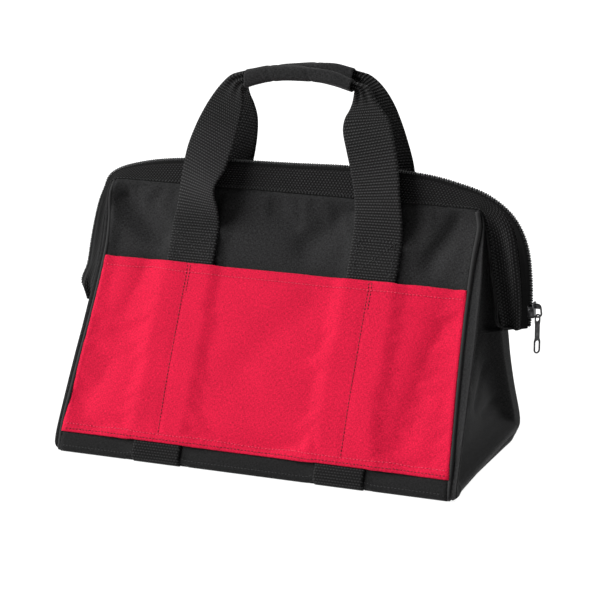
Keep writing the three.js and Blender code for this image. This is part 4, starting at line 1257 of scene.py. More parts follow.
def cloth_wear_and_shade_group():
    """Uneven dye, dusty rubbed patches, and painted shade: dark gaps between the threads and a darker foot.
    """
    tree, nodes, given, out = new_group(
        "Cloth wear",
        [
            ("Colour", "Color", (0.05, 0.05, 0.05, 1)),
            ("Coordinates", "Vector", None),
            ("Gap", "Float", 0.0),
            ("Painted gap shade", "Float", 0.4),
            ("Grain", "Float", 0.15),
            ("Dust", "Float", 0.1),
            ("Level", "Float", 1.0),
            ("Foot shade", "Float", 0.0),
        ],
        [("Colour", "Color"), ("Roughness", "Float")],
    )
    broad = nodes.noise(given["Coordinates"], DYE_SCALE, 3.0)
    threads = []
    for stretch in SLUB_STRETCH:
        place = nodes.add("ShaderNodeVectorMath", {0: given["Coordinates"], 1: stretch}, operation="MULTIPLY")
        threads.append(nodes.noise(place.outputs[0], 1.0, 2.0))
    grain = nodes.math("SUBTRACT", nodes.math("ADD", *threads), 1.0)
    light = nodes.math("MULTIPLY", nodes.math("MULTIPLY", grain, SLUB_STRENGTH), given["Grain"])
    shade = nodes.math("SUBTRACT", broad, 0.5)
    light = nodes.math("MULTIPLY_ADD", shade, DYE_STRENGTH, nodes.math("MULTIPLY", light, 2.0))
    # Painted shade: the colour is darkened in the gaps between the threads
    light = nodes.math("SUBTRACT", light, nodes.math("MULTIPLY", given["Gap"], given["Painted gap shade"]))
    light = nodes.math("MAXIMUM", nodes.math("ADD", light, 1.0), DARKEST)
    # Painted shade: the cloth is darkened towards the floor, fading out between the foot heights
    low, high = (level * MM for level in FOOT_SHADE_Z)
    foot_brightness = nodes.math("SUBTRACT", 1.0, given["Foot shade"])
    foot_shade_factor = nodes.spread(given["Level"], from_min=low, from_max=high, to_min=foot_brightness)
    light = nodes.math("MULTIPLY", light, foot_shade_factor)
    tinted = nodes.mix(1.0, given["Colour"], light, blend_type="MULTIPLY")
    patch = nodes.noise(given["Coordinates"], DUST_SCALE, 4.0)
    rubbed = nodes.spread(patch, from_min=DUSTY_FROM, from_max=DUSTY_FULL)
    dust = nodes.math("MULTIPLY", rubbed, given["Dust"])
    nodes.link(nodes.mix(dust, tinted, DUST_COLOUR), out["Colour"])
    nodes.link(nodes.math("MULTIPLY_ADD", grain, *CLOTH_ROUGHNESS), out["Roughness"])
    return tree


def metal_wear_group():
    """Dark coated metal with fine grain and rubbed brighter patches."""
    tree, nodes, given, out = new_group(
        "Metal wear",
        [("Colour", "Color", (0.1, 0.1, 0.1, 1)), ("Worn", "Color", (0.3, 0.3, 0.3, 1))],
        [("Colour", "Color"), ("Roughness", "Float"), ("Height", "Float")],
    )
    place = nodes.add("ShaderNodeTexCoord").outputs["Object"]
    fine = nodes.noise(place, METAL_SCALES[0], 3.0)
    broad = nodes.noise(place, METAL_SCALES[1], 4.0)
    rubbed = nodes.spread(broad, from_min=METAL_WORN_FROM, from_max=METAL_WORN_FULL)
    nodes.link(nodes.mix(rubbed, given["Colour"], given["Worn"]), out["Colour"])
    nodes.link(nodes.math("MULTIPLY_ADD", fine, *METAL_ROUGHNESS), out["Roughness"])
    nodes.link(fine, out["Height"])
    return tree


GROUPS = {
    "plain": plain_weave_group,
    "ribbed": ribbed_weave_group,
    "cloth wear": cloth_wear_and_shade_group,
    "metal wear": metal_wear_group,
}


@functools.cache
def shared_group(name):
    return GROUPS[name]()


def use_group(nodes, name, inputs):
    return nodes.add("ShaderNodeGroup", inputs, node_tree=shared_group(name)).outputs


def new_material(name):
    material = bpy.data.materials.new(name)
    material.use_nodes = True
    nodes = Nodes(material.node_tree)
    shader = next(node for node in material.node_tree.nodes if node.type == "BSDF_PRINCIPLED")
    return material, nodes, shader


# gap: painted shade in the gaps between the threads; foot: painted shade at the foot
Look = namedtuple("Look", "weave sizes gap grain dust bump depth sheen specular foot", defaults=(0,))
WEBBING_THREADS = {"Thread": 2.4, "Rib": 2.2, "Dots": 0.5}
BAND_THREADS = {"Thread": 2.6, "Rib": 1.6, "Dots": 1.0}
# How much the colour at the foot is darkened, as painted shade
FOOT_SHADE = 0.4
LOOKS = {
    "black_cloth": Look("plain", {"Pitch": 0.55}, 0.3, 1.9, 0.01, 0.5, 0.12, 0.05, 0.09),
    "red_cloth": Look("plain", {"Pitch": 0.6}, 0.15, 0.75, 0.0, 0.4, 0.12, 0.02, 0.05),
    # The webbing is darkened at the foot as painted shade
    "webbing": Look("ribbed", WEBBING_THREADS, 1.2, 0.3, 0.01, 1.0, 0.9, 0.03, 0.1, FOOT_SHADE),
    "band": Look("ribbed", BAND_THREADS, 1.25, 0.3, 0.01, 1.0, 0.9, 0.03, 0.1),
    "tape": Look("plain", {"Pitch": 0.8}, 0.3, 0.4, 0.01, 0.5, 0.15, 0.0, 0.05),
    "piping": Look("plain", {"Pitch": 0.6}, 0.25, 0.4, 0.01, 0.4, 0.12, 0.08, 0.2),
    "thread": Look("plain", {"Pitch": 1.5}, 0.2, 0.2, 0.0, 0.3, 0.1, 0.05, 0.2),
    "teeth": Look("plain", {"Pitch": 2.0}, 0.1, 0.15, 0.0, 0.2, 0.05, 0.0, 0.5),
}
# The walls' cloth: the black cloth with painted shade at the foot
LOOKS["wall_cloth"] = LOOKS["black_cloth"]._replace(foot=FOOT_SHADE)


def wire_shader(nodes, shader, wear, height, bump, depth, values):
    """Links the wear, with any painted shade, and a bump, its depth in millimetres, to a shader and sets its
    other values.
    """
    bumped = nodes.add("ShaderNodeBump", {"Height": height, "Strength": bump, "Distance": depth * MM})
    nodes.link(wear["Colour"], shader.inputs["Base Color"])
    nodes.link(wear["Roughness"], shader.inputs["Roughness"])
    nodes.link(bumped.outputs["Normal"], shader.inputs["Normal"])
    for name, value in values.items():
        shader.inputs[name].default_value = value


@functools.cache
def cloth_material(name, look, colour):
    """A woven material: its threads, dye, wear, painted shade and sheen."""
    made = LOOKS[look]
    material, nodes, shader = new_material(name)
    place = nodes.add("ShaderNodeAttribute", attribute_name="weave").outputs["Vector"]
    object_place = nodes.add("ShaderNodeTexCoord").outputs["Object"]
    weave = use_group(nodes, made.weave, {"Coordinates": place, **made.sizes})
    wear = use_group(nodes, "cloth wear", {
        "Colour": colour,
        "Coordinates": place,
        "Gap": weave["Gap"],
        "Painted gap shade": made.gap,
        "Grain": made.grain,
        "Dust": made.dust,
        "Level": nodes.add("ShaderNodeSeparateXYZ", {0: object_place}).outputs["Z"],
        "Foot shade": made.foot,
    })
    wire_shader(nodes, shader, wear, weave["Height"], made.bump, made.depth, {
        "Sheen Weight": made.sheen,
        "Sheen Roughness": SHEEN_ROUGHNESS,
        "Specular IOR Level": made.specular,
    })
    return material


@functools.cache
def metal_material(colour, worn):
    """Dark coated zinc for the slider and its pull."""
    material, nodes, shader = new_material("Dark metal")
    wear = use_group(nodes, "metal wear", {"Colour": colour, "Worn": worn})
    wire_shader(nodes, shader, wear, wear["Height"], METAL_BUMP, METAL_BUMP_DEPTH, {"Metallic": METALLIC})
    return material


def place_piece(piece, slot, material, *nodes, body="bag"):
    """Gives a piece its material, its body and the CAD nodes that it stands for. The slot is not used."""
    piece.data.materials.append(material)
    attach(piece, body)
    if nodes:
        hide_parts(*nodes)


def colour_of(value):
    return tuple(value[:3]) + (1.0,)


def size_setting(name, description, default):
    return bpy.props.FloatProperty(name=name, description=description, default=default, unit="LENGTH")


def colour_setting(name, description, default):
    return bpy.props.FloatVectorProperty(
        name=name, description=description, default=default, subtype="COLOR", min=0, max=1
    )


class BagSizes(bpy.types.PropertyGroup):
    """Sizes of the finish that a user may change."""

    stitch_pitch: size_setting("Stitch pitch", "Distance from one stitch to the next", 0.0028)
    thread_radius: size_setting("Thread radius", "Half the thickness of the sewing thread", 0.00032)
    tooth_pitch: size_setting("Tooth pitch", "Distance from one zip tooth to the next", 0.0019)
    pocket_puff: size_setting("Pocket puff", "How far the pockets stand off between their seams", 0.0019)


class BagColours(bpy.types.PropertyGroup):
    """Colours of the finish that a user may change."""

    black_cloth: colour_setting(
        "Black cloth", "Colour of the panels, gussets and grips", (0.0112, 0.0112, 0.0115)
    )
    red_cloth: colour_setting("Red cloth", "Colour of the pocket panel", (0.44, 0.0065, 0.032))
    webbing: colour_setting("Webbing", "Colour of the straps", (0.039, 0.039, 0.0394))
    band: colour_setting("Band", "Colour of the bands along the mouth", (0.037, 0.037, 0.0374))
    zip_tape: colour_setting("Zip tape", "Colour of the zip's tapes", (0.005, 0.005, 0.0051))
    zip_teeth: colour_setting("Zip teeth", "Colour of the zip's teeth", (0.022, 0.022, 0.0223))
    metal: colour_setting("Metal", "Colour of the slider and its pull", (0.035, 0.035, 0.036))
    red_thread: colour_setting(
        "Red thread", "Colour of the stitches on the pocket panel", (0.52, 0.024, 0.06)
    )
    # A dark red thread, made darker still as painted shade along the seams between the pockets and the lowest
    # row at the foot
    shaded_seam_thread: colour_setting(
        "Seam thread", "Colour of the stitches between the pockets", (0.16, 0.006, 0.016)
    )
    black_thread: colour_setting(
        "Black thread", "Colour of the stitches on the black cloth", (0.016, 0.016, 0.0165)
    )


def dyed_cloth(context, name, look, colour):
    """A woven material in one of the panel's colours."""
    return cloth_material(name, look, colour_of(getattr(context.scene.bag_colours, colour)))


def black_cloth(context):
    return dyed_cloth(context, "Black cloth", "black_cloth", "black_cloth")


def patch_shell(name, patch, thick):
    """A shell over a whole patch, with the length of the cloth along its rows."""
    lengths = run(patch.points, 0)
    weave = weave_of(patch.points[..., 0], lengths[:, None])
    quads = grid_quads(*patch.points.shape[:2])
    return shell(name, patch.points, patch.normals, quads, thick, weave), lengths[-1]


class BAG_OT_panels(bpy.types.Operator):
    """Build the front and back panels, slackened by a cloth simulation"""

    bl_idname = "bag.panels"
    bl_label = "Panels"

    def execute(self, context):
        # The walls' material adds painted shade at the foot
        material = dyed_cloth(context, "Wall cloth", "wall_cloth", "black_cloth")
        for name in FACES:
            piece, length = patch_shell(f"{name}_cloth", wall(name), BODY_CLOTH)
            place_piece(piece, "black_cloth", material, f"{name}_panel")
        return {"FINISHED"}


class BAG_OT_base(bpy.types.Operator):
    """Build the stiff base with its two grooves"""

    bl_idname = "bag.base"
    bl_label = "Base"

    def execute(self, context):
        groove = WEBBING_WIDTH / 2 + GAP
        profile = [(-BASE_HALF_WIDTH, 0)]
        for x in (-STRAP_X, STRAP_X):
            profile += [(x - groove, z) for z in (0, GROOVE_DEPTH)]
            profile += [(x + groove, z) for z in (GROOVE_DEPTH, 0)]
        profile += [(BASE_HALF_WIDTH, 0), (BASE_HALF_WIDTH, BASE_THICK), (-BASE_HALF_WIDTH, BASE_THICK)]
        ends = (-FACES["front"].fold_centre + GAP, FACES["back"].fold_centre - GAP)
        points = [(x, y, z) for y in ends for x, z in profile]
        count = len(profile)
        faces = [tuple(range(count)), tuple(range(2 * count - 1, count - 1, -1))]
        for i in range(count):
            j = (i + 1) % count
            faces.append((i, count + i, count + j, j))
        piece = make_object("base_plate", points, faces, points)
        piece.data.shade_flat()
        bevel = piece.modifiers.new("Rounded edges", "BEVEL")
        bevel.width = BASE_ROUNDING * MM
        bevel.segments = 2
        bevel.limit_method = "ANGLE"
        place_piece(piece, "black_cloth", black_cloth(context), "base_panel")
        return {"FINISHED"}


class BAG_OT_gussets(bpy.types.Operator):
    """Build the cloth of both ends, with their rolled edges and fins"""

    bl_idname = "bag.gussets"
    bl_label = "Gussets"

    def execute(self, context):
        for side, sign in SIDES.items():
            grid, row_parts, column_parts = gusset(side)
            rows, columns = grid.shape[:2]
            slit = sum(column_parts[:3]) - 1
            crease = sum(row_parts[:3]) - 1
            count = column_parts[3]

            def present(r, c):
                return r < crease or not slit <= c < slit + count

            normals = self.normals(grid, sign, crease, slit, count)
            middle = columns // 2
            steps = np.linalg.norm(np.diff(grid, axis=1), axis=2)
            across = np.concatenate([np.zeros((rows, 1)), np.cumsum(steps, axis=1)], axis=1)
            across -= across[:, middle : middle + 1]
            weave = weave_of(across, run(grid, 0)[:, None])
            quads = grid_quads(rows, columns, present=present)
            piece = shell(f"{side}_end_cloth", grid, normals, quads, GUSSET_CLOTH, weave)
            place_piece(piece, "black_cloth", black_cloth(context), f"{side}_gusset")
        return {"FINISHED"}

    def normals(self, grid, sign, crease, slit, count):
        """Outward normals, worked out for each half of the fin on its own."""
        normals = grid_normals(grid, (sign, 0, 0))
        upper = grid[crease:]
        near = grid_normals(upper[:, : slit + 1], (0, -1, 0))
        far = grid_normals(upper[:, slit + count :], (0, 1, 0))
        normals[crease + 1 :, : slit + 1] = near[1:]
        normals[crease + 1 :, slit + count :] = far[1:]
        return normals


class BAG_OT_piping(bpy.types.Operator):
    """Build the piping of both ends"""

    bl_idname = "bag.piping"
    bl_label = "Piping"

    def execute(self, context):
        material = dyed_cloth(context, "Piping cloth", "piping", "black_cloth")
        for side, sign in SIDES.items():
            points = self.down(side, "front") + self.down(side, "back")[::-1]
            path, lengths = along_path(np.array(points) * (sign, 1, 1), PIPING_STEP)
            piece = tube(f"{side}_cord", path, PIPING_RADIUS, PIPING_SIDES, (1, 0, 0), lengths)
            place_piece(piece, "piping", material, f"{side}_piping")
        return {"FINISHED"}

    def down(self, side, name):
        """Points from the top of one wall's edge, round its bottom corner and under the base."""
        face = FACES[name]
        points = []
        for z in PIPING_LEVELS:
            inset = lerp(PIPING_LOW, PIPING_HIGH[side], float(smoothstep(z, *PIPING_RISE)))
            x = edge_reach(face, side, z) + PIPING_RADIUS - PIPING_SUNK
            points.append((x, face.facing * edge_depth(face, z, inset), z))
        radius = face.fold_radius - PIPING_CORNER
        for angle in PIPING_ANGLES:
            y = face.fold_centre + radius * math.sin(angle)
            z = GROOVE_DEPTH - FOOT_DROP + face.fold_radius - radius * math.cos(angle)
            points.append((edge_reach(face, side, z) + PIPING_RADIUS - PIPING_SUNK, face.facing * y, z))
        for behind in PIPING_UNDER:
            x = BASE_HALF_WIDTH + 2 * GAP + PIPING_RADIUS
            z = GROOVE_DEPTH - FOOT_DROP + PIPING_CORNER
            points.append((x, face.facing * (face.fold_centre - behind), z))
        return points


# Stitch rows of the pocket panel, above its lower edge or below its upper edge
POCKET_SIDE = 0.985
HEM_STITCH = 6.2
FOOT_STITCHES = (1.7, 5.2)
SEAM_TACK = 20
SEAM_TACK_GAP = 2.4
POCKET_EASE = 44
POCKET_TAUT = 0.14
# Grid of the pocket panel, its hem and the grooves of its stitches, and the points that hold it
POCKET_ROWS = 54
POCKET_COLUMNS = 133
STRAP_MARGIN = 1
PUFF_LOW = 0.6
PUFF_START = 0.15
HEM_THICK = 0.45
HEM_FADE = 1
SEAM_GROOVE = 0.45
SEAM_GROOVE_WIDTH = 1.2
STITCH_GROOVE = 0.3
HEM_GROOVE_WIDTH = 0.9
FOOT_GROOVE_WIDTH = 0.8
POCKET_HELD_FOOT = 0.05
POCKET_HELD_SEAM = 1.6
POCKET_SINK = 0.1


@functools.cache
def pocket():
    """The red panel: it lies over the straps, is sewn down between its pockets and stands off a little."""
    z = np.linspace(FOLD_TOP_Z, POCKET_TOP_Z, POCKET_ROWS)[:, None]
    part = np.linspace(-1, 1, POCKET_COLUMNS)[None, :]
    x = across_wall(FACES["front"], part, z)
    rise = (z - FOLD_TOP_Z) / (POCKET_TOP_Z - FOLD_TOP_Z)
    beside = from_strap(x) - WEBBING_WIDTH / 2 - STRAP_MARGIN
    outer_pocket = np.abs(x) > STRAP_X
    half = FRONT_WALL.at("half", z)
    over = 1 - smoothstep(beside, 0, POCKET_EASE)
    reach = half - STRAP_X - WEBBING_WIDTH / 2 - STRAP_MARGIN
    taut = np.where(outer_pocket, np.minimum(1, 1 - beside / reach), 1)
    strap_part = lerp(over, np.maximum(taut, 0), smoothstep(rise, 0, POCKET_TAUT))
    spread = np.where(outer_pocket, (np.abs(x) - STRAP_X) / (half - STRAP_X), np.abs(x) / STRAP_X)
    bow = np.where(outer_pocket, np.sin(math.pi * spread), np.cos(math.pi / 2 * spread))
    puff = bpy.context.scene.bag_sizes.pocket_puff / MM * bow
    puff = puff * lerp(PUFF_LOW, 1, rise) * smoothstep(rise, 0, PUFF_START)
    hem_z = POCKET_TOP_Z - HEM_STITCH
    hem = HEM_THICK * smoothstep(z, hem_z - HEM_FADE, hem_z + HEM_FADE)
    groove = SEAM_GROOVE * valley(from_strap(x), SEAM_GROOVE_WIDTH)
    groove = groove + STITCH_GROOVE * valley(z - hem_z, HEM_GROOVE_WIDTH)
    for level in FOOT_STITCHES:
        groove = groove + STITCH_GROOVE * valley(z - FOLD_TOP_Z - level, FOOT_GROOVE_WIDTH)
    lift = GAP + POCKET_CLOTH + strap_part * (GAP + WEBBING) + puff + hem - groove
    points, normals = on_wall("front", *np.broadcast_arrays(x, z), lift)
    held = (rise < POCKET_HELD_FOOT) | (np.abs(part) > HELD_SIDE) | (from_strap(x) < POCKET_HELD_SEAM)
    moved = settle(points, held, POCKET_GROWTH, POCKET_SLACK)
    out = np.maximum(((moved - points) * normals).sum(axis=-1), -POCKET_SINK)
    return Patch(points + normals * out[..., None], (0, -1, 0), z[:, 0], part[0])


def on_pocket(x, z):
    x, z = np.broadcast_arrays(np.asarray(x, float), np.asarray(z, float))
    return pocket().read(z, part_across(FACES["front"], x, z))


class BAG_OT_pocket(bpy.types.Operator):
    """Build the red pocket panel, slackened by a cloth simulation"""

    bl_idname = "bag.pocket"
    bl_label = "Pocket panel"

    def execute(self, context):
        piece, length = patch_shell("pocket_cloth", pocket(), POCKET_CLOTH)
        material = dyed_cloth(context, "Red cloth", "red_cloth", "red_cloth")
        place_piece(piece, "red_cloth", material, "pocket_panel")
        return {"FINISHED"}


class BAG_OT_straps(bpy.types.Operator):
    """Build the webbing straps, from under the base up to the grips"""

    bl_idname = "bag.straps"
    bl_label = "Straps"

    def execute(self, context):
        material = dyed_cloth(context, "Webbing", "webbing", "webbing")
        offset = np.linspace(-0.5, 0.5, STRAP_COLUMNS) * WEBBING_WIDTH
        for name in FACES:
            grid, normals, lengths = strap(name)
            weave = weave_of(offset[None, :], lengths[:, None])
            quads = grid_quads(*grid.shape[:2])
            piece = shell(f"{name}_webbing", grid, normals, quads, WEBBING, weave, WEBBING_EDGE)
            place_piece(piece, "webbing", material, f"{name}_strap")
        return {"FINISHED"}


class BAG_OT_grips(bpy.types.Operator):
    """Build the cloth sleeves round the gathered straps"""

    bl_idname = "bag.grips"
    bl_label = "Grips"

    def execute(self, context):
        for name in FACES:
            rings = sleeve(name)
            centre = rings.mean(axis=1, keepdims=True)
            normals = unit(rings - centre)
            quads = grid_quads(*rings.shape[:2], wrap=True)
            around = np.linspace(0, SLEEVE_GIRTH, SLEEVE_SIDES)
            weave = weave_of(around[None, :], run(rings, 0)[:, None])
            piece = shell(f"{name}_sleeve", rings, normals, quads, SLEEVE_CLOTH, weave)
            place_piece(piece, "black_cloth", black_cloth(context), f"{name}_grip")
        return {"FINISHED"}


# Parts of the way from the sewn edge to the zip, and the steps along and across, of the band and the tape
BAND_GRID = (np.linspace(BAND_START, BAND_END, 9), (2.4, 1.6))
TAPE_GRID = (np.linspace(TAPE_START, 1, 4), (2.4, 0.9))


def mouth_sheet(name, parts, steps):
    """A fine grid of the band or the tape of one face, with its normals and cloth coordinates."""
    grid, _ = refine(mouth_grid(name, parts), 0, steps[0])
    grid, _ = refine(grid, 1, steps[1])
    normals = grid_normals(grid, (0, FACES[name].facing, 0))
    weave = weave_of(run(grid, 0)[:, None], run(grid, 1)[None, :])
    return grid, normals, weave


class BAG_OT_bands(bpy.types.Operator):
    """Build the coarse bands along the mouth and down the fins"""

    bl_idname = "bag.bands"
    bl_label = "Bands"

    def execute(self, context):
        material = dyed_cloth(context, "Band", "band", "band")
        for name in FACES:
            grid, normals, weave = mouth_sheet(name, *BAND_GRID)
            quads = grid_quads(*grid.shape[:2])
            piece = shell(f"{name}_band_cloth", grid, normals, quads, BAND_CLOTH, weave)
            place_piece(piece, "band", material, f"{name}_band")
        return {"FINISHED"}


class BAG_OT_zip(bpy.types.Operator):
    """Build the zip's tapes and its two rows of teeth"""

    bl_idname = "bag.zip"
    bl_label = "Zip"

    def execute(self, context):
        material = dyed_cloth(context, "Zip tape", "tape", "zip_tape")
        for name in FACES:
            grid, normals, weave = mouth_sheet(name, *TAPE_GRID)
            quads = grid_quads(*grid.shape[:2])
            piece = shell(f"{name}_tape", grid, normals, quads, TAPE_CLOTH, weave)
            place_piece(piece, "zip", material, f"{name}_zip_tape")
        pitch = context.scene.bag_sizes.tooth_pitch / MM
        path, lengths = along_path(coil_path(), pitch)
        tangent = unit(np.gradient(path, axis=0))
        outward = np.cross(tangent, (0, 1, 0))
        outward *= np.sign(outward[len(path) // 2, 2])
        teeth = Threads()
        sideways = np.array([0.0, 1.0, 0.0])
        middle = path - outward * (COIL_ARC - COIL_RADIUS + COIL_WIRE)
        angle = np.radians(np.linspace(-COIL_WRAP, COIL_WRAP, TOOTH_POINTS))[:, None]
        thick = np.full(TOOTH_POINTS, COIL_WIRE)
        for i, (point, up) in enumerate(zip(middle, outward)):
            lean = COIL_LEAN if i % 2 else -COIL_LEAN
            bar = point + COIL_ARC * (up * np.cos(angle) + sideways * np.sin(angle))
            teeth.bar(bar + tangent[i] * lean * np.sin(angle), thick, TOOTH_SIDES, tangent[i])
        core = tube("zip_core", middle, CORE_RADIUS, CORE_SIDES, (0, 1, 0), lengths)
        place_piece(core, "zip", material)
        piece = teeth.make("zip_teeth")
        material = dyed_cloth(context, "Zip teeth", "teeth", "zip_teeth")
        place_piece(piece, "zip", material, "zip_coil")
        return {"FINISHED"}


def rounded_plate(outline, thick, bevel):
    """A mesh plate from an outline in a plane and holes in it, with rounded edges, facing along Z."""
    curve = bpy.data.curves.new("outline", "CURVE")
    curve.dimensions = "2D"
    curve.fill_mode = "BOTH"
    curve.extrude = (thick / 2 - bevel) * MM
    curve.bevel_depth = bevel * MM
    curve.bevel_resolution = 2
    curve.offset = -bevel * MM
    for loop in outline:
        spline = curve.splines.new("POLY")
        spline.points.add(len(loop) - 1)
        for point, (x, y) in zip(spline.points, loop):
            point.co = (x * MM, y * MM, 0, 1)
        spline.use_cyclic_u = True
    holder = bpy.data.objects.new("outline", curve)
    bpy.context.scene.collection.objects.link(holder)
    graph = bpy.context.evaluated_depsgraph_get()
    mesh = bpy.data.meshes.new_from_object(holder.evaluated_get(graph))
    bpy.data.objects.remove(holder)
    bpy.data.curves.remove(curve)
    shape = bmesh.new()
    shape.from_mesh(mesh)
    bpy.data.meshes.remove(mesh)
    bmesh.ops.remove_doubles(shape, verts=shape.verts, dist=WELD_DISTANCE * MM)
    return shape


def arc(middle, radius, start, end, count):
    angle = np.radians(np.linspace(start, end, count))
    return [(middle[0] + radius * math.cos(a), middle[1] + radius * math.sin(a)) for a in angle]


def slot_loop(size, middle):
    """A long hole with round ends, upright."""
    radius = size[0] / 2
    reach = size[1] / 2 - radius
    upper = arc((0, middle + reach), radius, 0, 180, HOLE_ARC_POINTS)
    return upper + arc((0, middle - reach), radius, 180, 360, HOLE_ARC_POINTS)


def moved_points(shape, place):
    """Each point of a mesh put in a new place, worked out from its old one in millimetres."""
    for vert in shape.verts:
        vert.co = Vector(place(*(vert.co / MM))) * MM


def join_shapes(shapes):
    whole = bmesh.new()
    for shape in shapes:
        mesh = bpy.data.meshes.new("part")
        shape.to_mesh(mesh)
        shape.free()
        whole.from_mesh(mesh)
        bpy.data.meshes.remove(mesh)
    return whole


def metal(context):
    colours = context.scene.bag_colours
    return metal_material(colour_of(colours.metal), colour_of([3 * part for part in colours.metal]))


# Half outline of the slider's two shields from their lower end, and the outline of the flanks between them
SHIELD = Table(
    "up inset",
    (0, 0.9),
    (0.5, 0.5),
    (0.45 * SLIDER_LENGTH, 0.6),
    (0.72 * SLIDER_LENGTH, 0),
    (SLIDER_LENGTH - 0.7, 0.3),
    (SLIDER_LENGTH, 1.2),
)
FLANK = Table(
    "across up",
    (-0.6, 0.7),
    (0.6, 0.7),
    (0.6, 0.66 * SLIDER_LENGTH),
    (0.2, 0.72 * SLIDER_LENGTH),
    (-0.6, 0.72 * SLIDER_LENGTH),
)
SHIELD_ROUNDING = 0.4
FRONT_SHIELD = SLIDER_WALL + 0.3
FLANK_DEPTH = SLIDER_DEPTH + 0.4
FLANK_ROUNDING = 0.3
FLANK_INSET = 0.8
FLANK_X = SLIDER_X - SLIDER_DEPTH / 2 - 0.6
SLIDER_ROOT = SLIDER_X - 0.4 * SLIDER_WALL
# Bridge of the slider, by places out from and up from its lower bend, and the cap that fills its top
BAIL_BEND = (-90, 20)
BAIL_BEND_POINTS = 7
BAIL_SHOULDER = ((BAIL_RADIUS - 0.5, 3.6), (1, BAIL_RISE - 0.4))
BAIL_STEP = 0.35
BAIL_SIDES = 14
BAIL_SWELL = 0.3
BAIL_SWELL_Z = (BAIL_Z + 3, BAIL_Z + 5)
BAIL_FLAT = 0.9
CAP_OUTLINE = (
    (SLIDER_ROOT, BAIL_Z + CAP_START),
    (BAIL_X + BAIL_RADIUS - 0.4, BAIL_Z + CAP_START),
    (BAIL_X + BAIL_RADIUS / 2, BAIL_Z + BAIL_RISE - 0.6),
    (SLIDER_ROOT, BAIL_Z + BAIL_RISE),
)
CAP_ROUNDING = 0.5


class BAG_OT_slider(bpy.types.Operator):
    """Build the zip's slider with its bail"""

    bl_idname = "bag.slider"
    bl_label = "Slider"

    def execute(self, context):
        right = [(SLIDER_HALF_WIDTH - row.inset, row.up) for row in SHIELD.each()]
        shield = right + [(-x, y) for x, y in right[::-1]]
        shapes = []
        for outer, thick in ((SLIDER_X, FRONT_SHIELD), (SLIDER_X - SLIDER_DEPTH, SLIDER_WALL)):
            shapes.append(self.upright(shield, thick, SHIELD_ROUNDING, outer - thick / 2, MOUTH_Y))
        for sign in (-1, 1):
            y = MOUTH_Y + sign * (SLIDER_HALF_WIDTH - FLANK_INSET)
            shapes.append(self.upright(FLANK.rows, FLANK_DEPTH, FLANK_ROUNDING, FLANK_X, y))
        shapes.append(self.bail())
        cap = rounded_plate([CAP_OUTLINE], CAP_WIDTH, CAP_ROUNDING)
        moved_points(cap, lambda x, y, z: (x, MOUTH_Y + z, y))
        shapes.append(cap)
        piece = object_from("zip_slider_body", join_shapes(shapes))
        place_piece(piece, "metal", metal(context), "zip_slider")
        return {"FINISHED"}

    def upright(self, outline, thick, rounding, x_at, y_at):
        """A plate across the zip, with its outline upward from the slider's lower end."""
        plate = rounded_plate([outline], thick, rounding)
        moved_points(plate, lambda x, y, z: (x_at + z, y_at + x, SLIDER_BOTTOM_Z + y))
        return plate

    def bail(self):
        """The bridge on the slider's face that carries the pull."""
        bend = arc((BAIL_X, BAIL_Z), BAIL_RADIUS, *BAIL_BEND, BAIL_BEND_POINTS)
        bend += [(BAIL_X + out, BAIL_Z + up) for out, up in BAIL_SHOULDER]
        points = [(SLIDER_ROOT, BAIL_Z - BAIL_RADIUS), *bend, (SLIDER_ROOT, BAIL_Z + BAIL_RISE)]
        path, _ = along_path([(x, MOUTH_Y, z) for x, z in points], BAIL_STEP)
        rise = smoothstep(path[:, 2], *BAIL_SWELL_Z)
        rings = tube_rings(path, BAIL_WIRE * (1 + BAIL_SWELL * rise), BAIL_SIDES, (0, 1, 0))
        rings[..., 1] = MOUTH_Y + (rings[..., 1] - MOUTH_Y) * BAIL_FLAT
        shape = bmesh.new()
        verts = [shape.verts.new(point * MM) for point in rings.reshape(-1, 3)]
        for face in tube_faces(len(rings), BAIL_SIDES):
            shape.faces.new([verts[i] for i in face])
        return shape


class BAG_OT_pull(bpy.types.Operator):
    """Build the pull that hangs on the slider"""

    bl_idname = "bag.pull"
    bl_label = "Pull"

    def execute(self, context):
        hole_top = -BAIL_RADIUS + BAIL_WIRE + EYE_CLEARANCE
        top = hole_top + EYE_RIM
        bottom = top - PULL_LENGTH
        eye = top - EYE_WIDTH / 2
        tip = bottom + TIP_WIDTH / 2
        right = [
            (TIP_WIDTH / 2, tip + TIP_HOLE[1] - 2 * EYE_RIM),
            (SHANK_WIDTH / 2, tip + TIP_HOLE[1]),
            (SHANK_WIDTH / 2, eye - EYE_HOLE[1] - EYE_RIM),
            (EYE_WIDTH / 2, eye - EYE_HOLE[1] + EYE_RIM),
        ]
        left = [(-x, y) for x, y in right[::-1]]
        outline = arc((0, eye), EYE_WIDTH / 2, 0, 180, PULL_ARC_POINTS) + left
        outline += arc((0, tip), TIP_WIDTH / 2, 180, 360, PULL_ARC_POINTS) + right
        eye_hole = slot_loop(EYE_HOLE, hole_top - EYE_HOLE[1] / 2)
        tip_hole = slot_loop(TIP_HOLE, bottom + EYE_RIM + TIP_HOLE[1] / 2)
        shape = rounded_plate([outline, eye_hole, tip_hole], PULL_THICK, PULL_ROUNDING)
        turn = math.pi / 2 - PULL_TURN
        cos, sin = math.cos(turn), math.sin(turn)
        moved_points(shape, lambda x, y, z: (
            BAIL_X + x * cos + z * sin,
            MOUTH_Y + x * sin - z * cos,
            BAIL_Z + y,
        ))
        piece = object_from("zip_pull_tab", shape)
        place_piece(piece, "metal", metal(context), "zip_pull", body="pull")
        return {"FINISHED"}


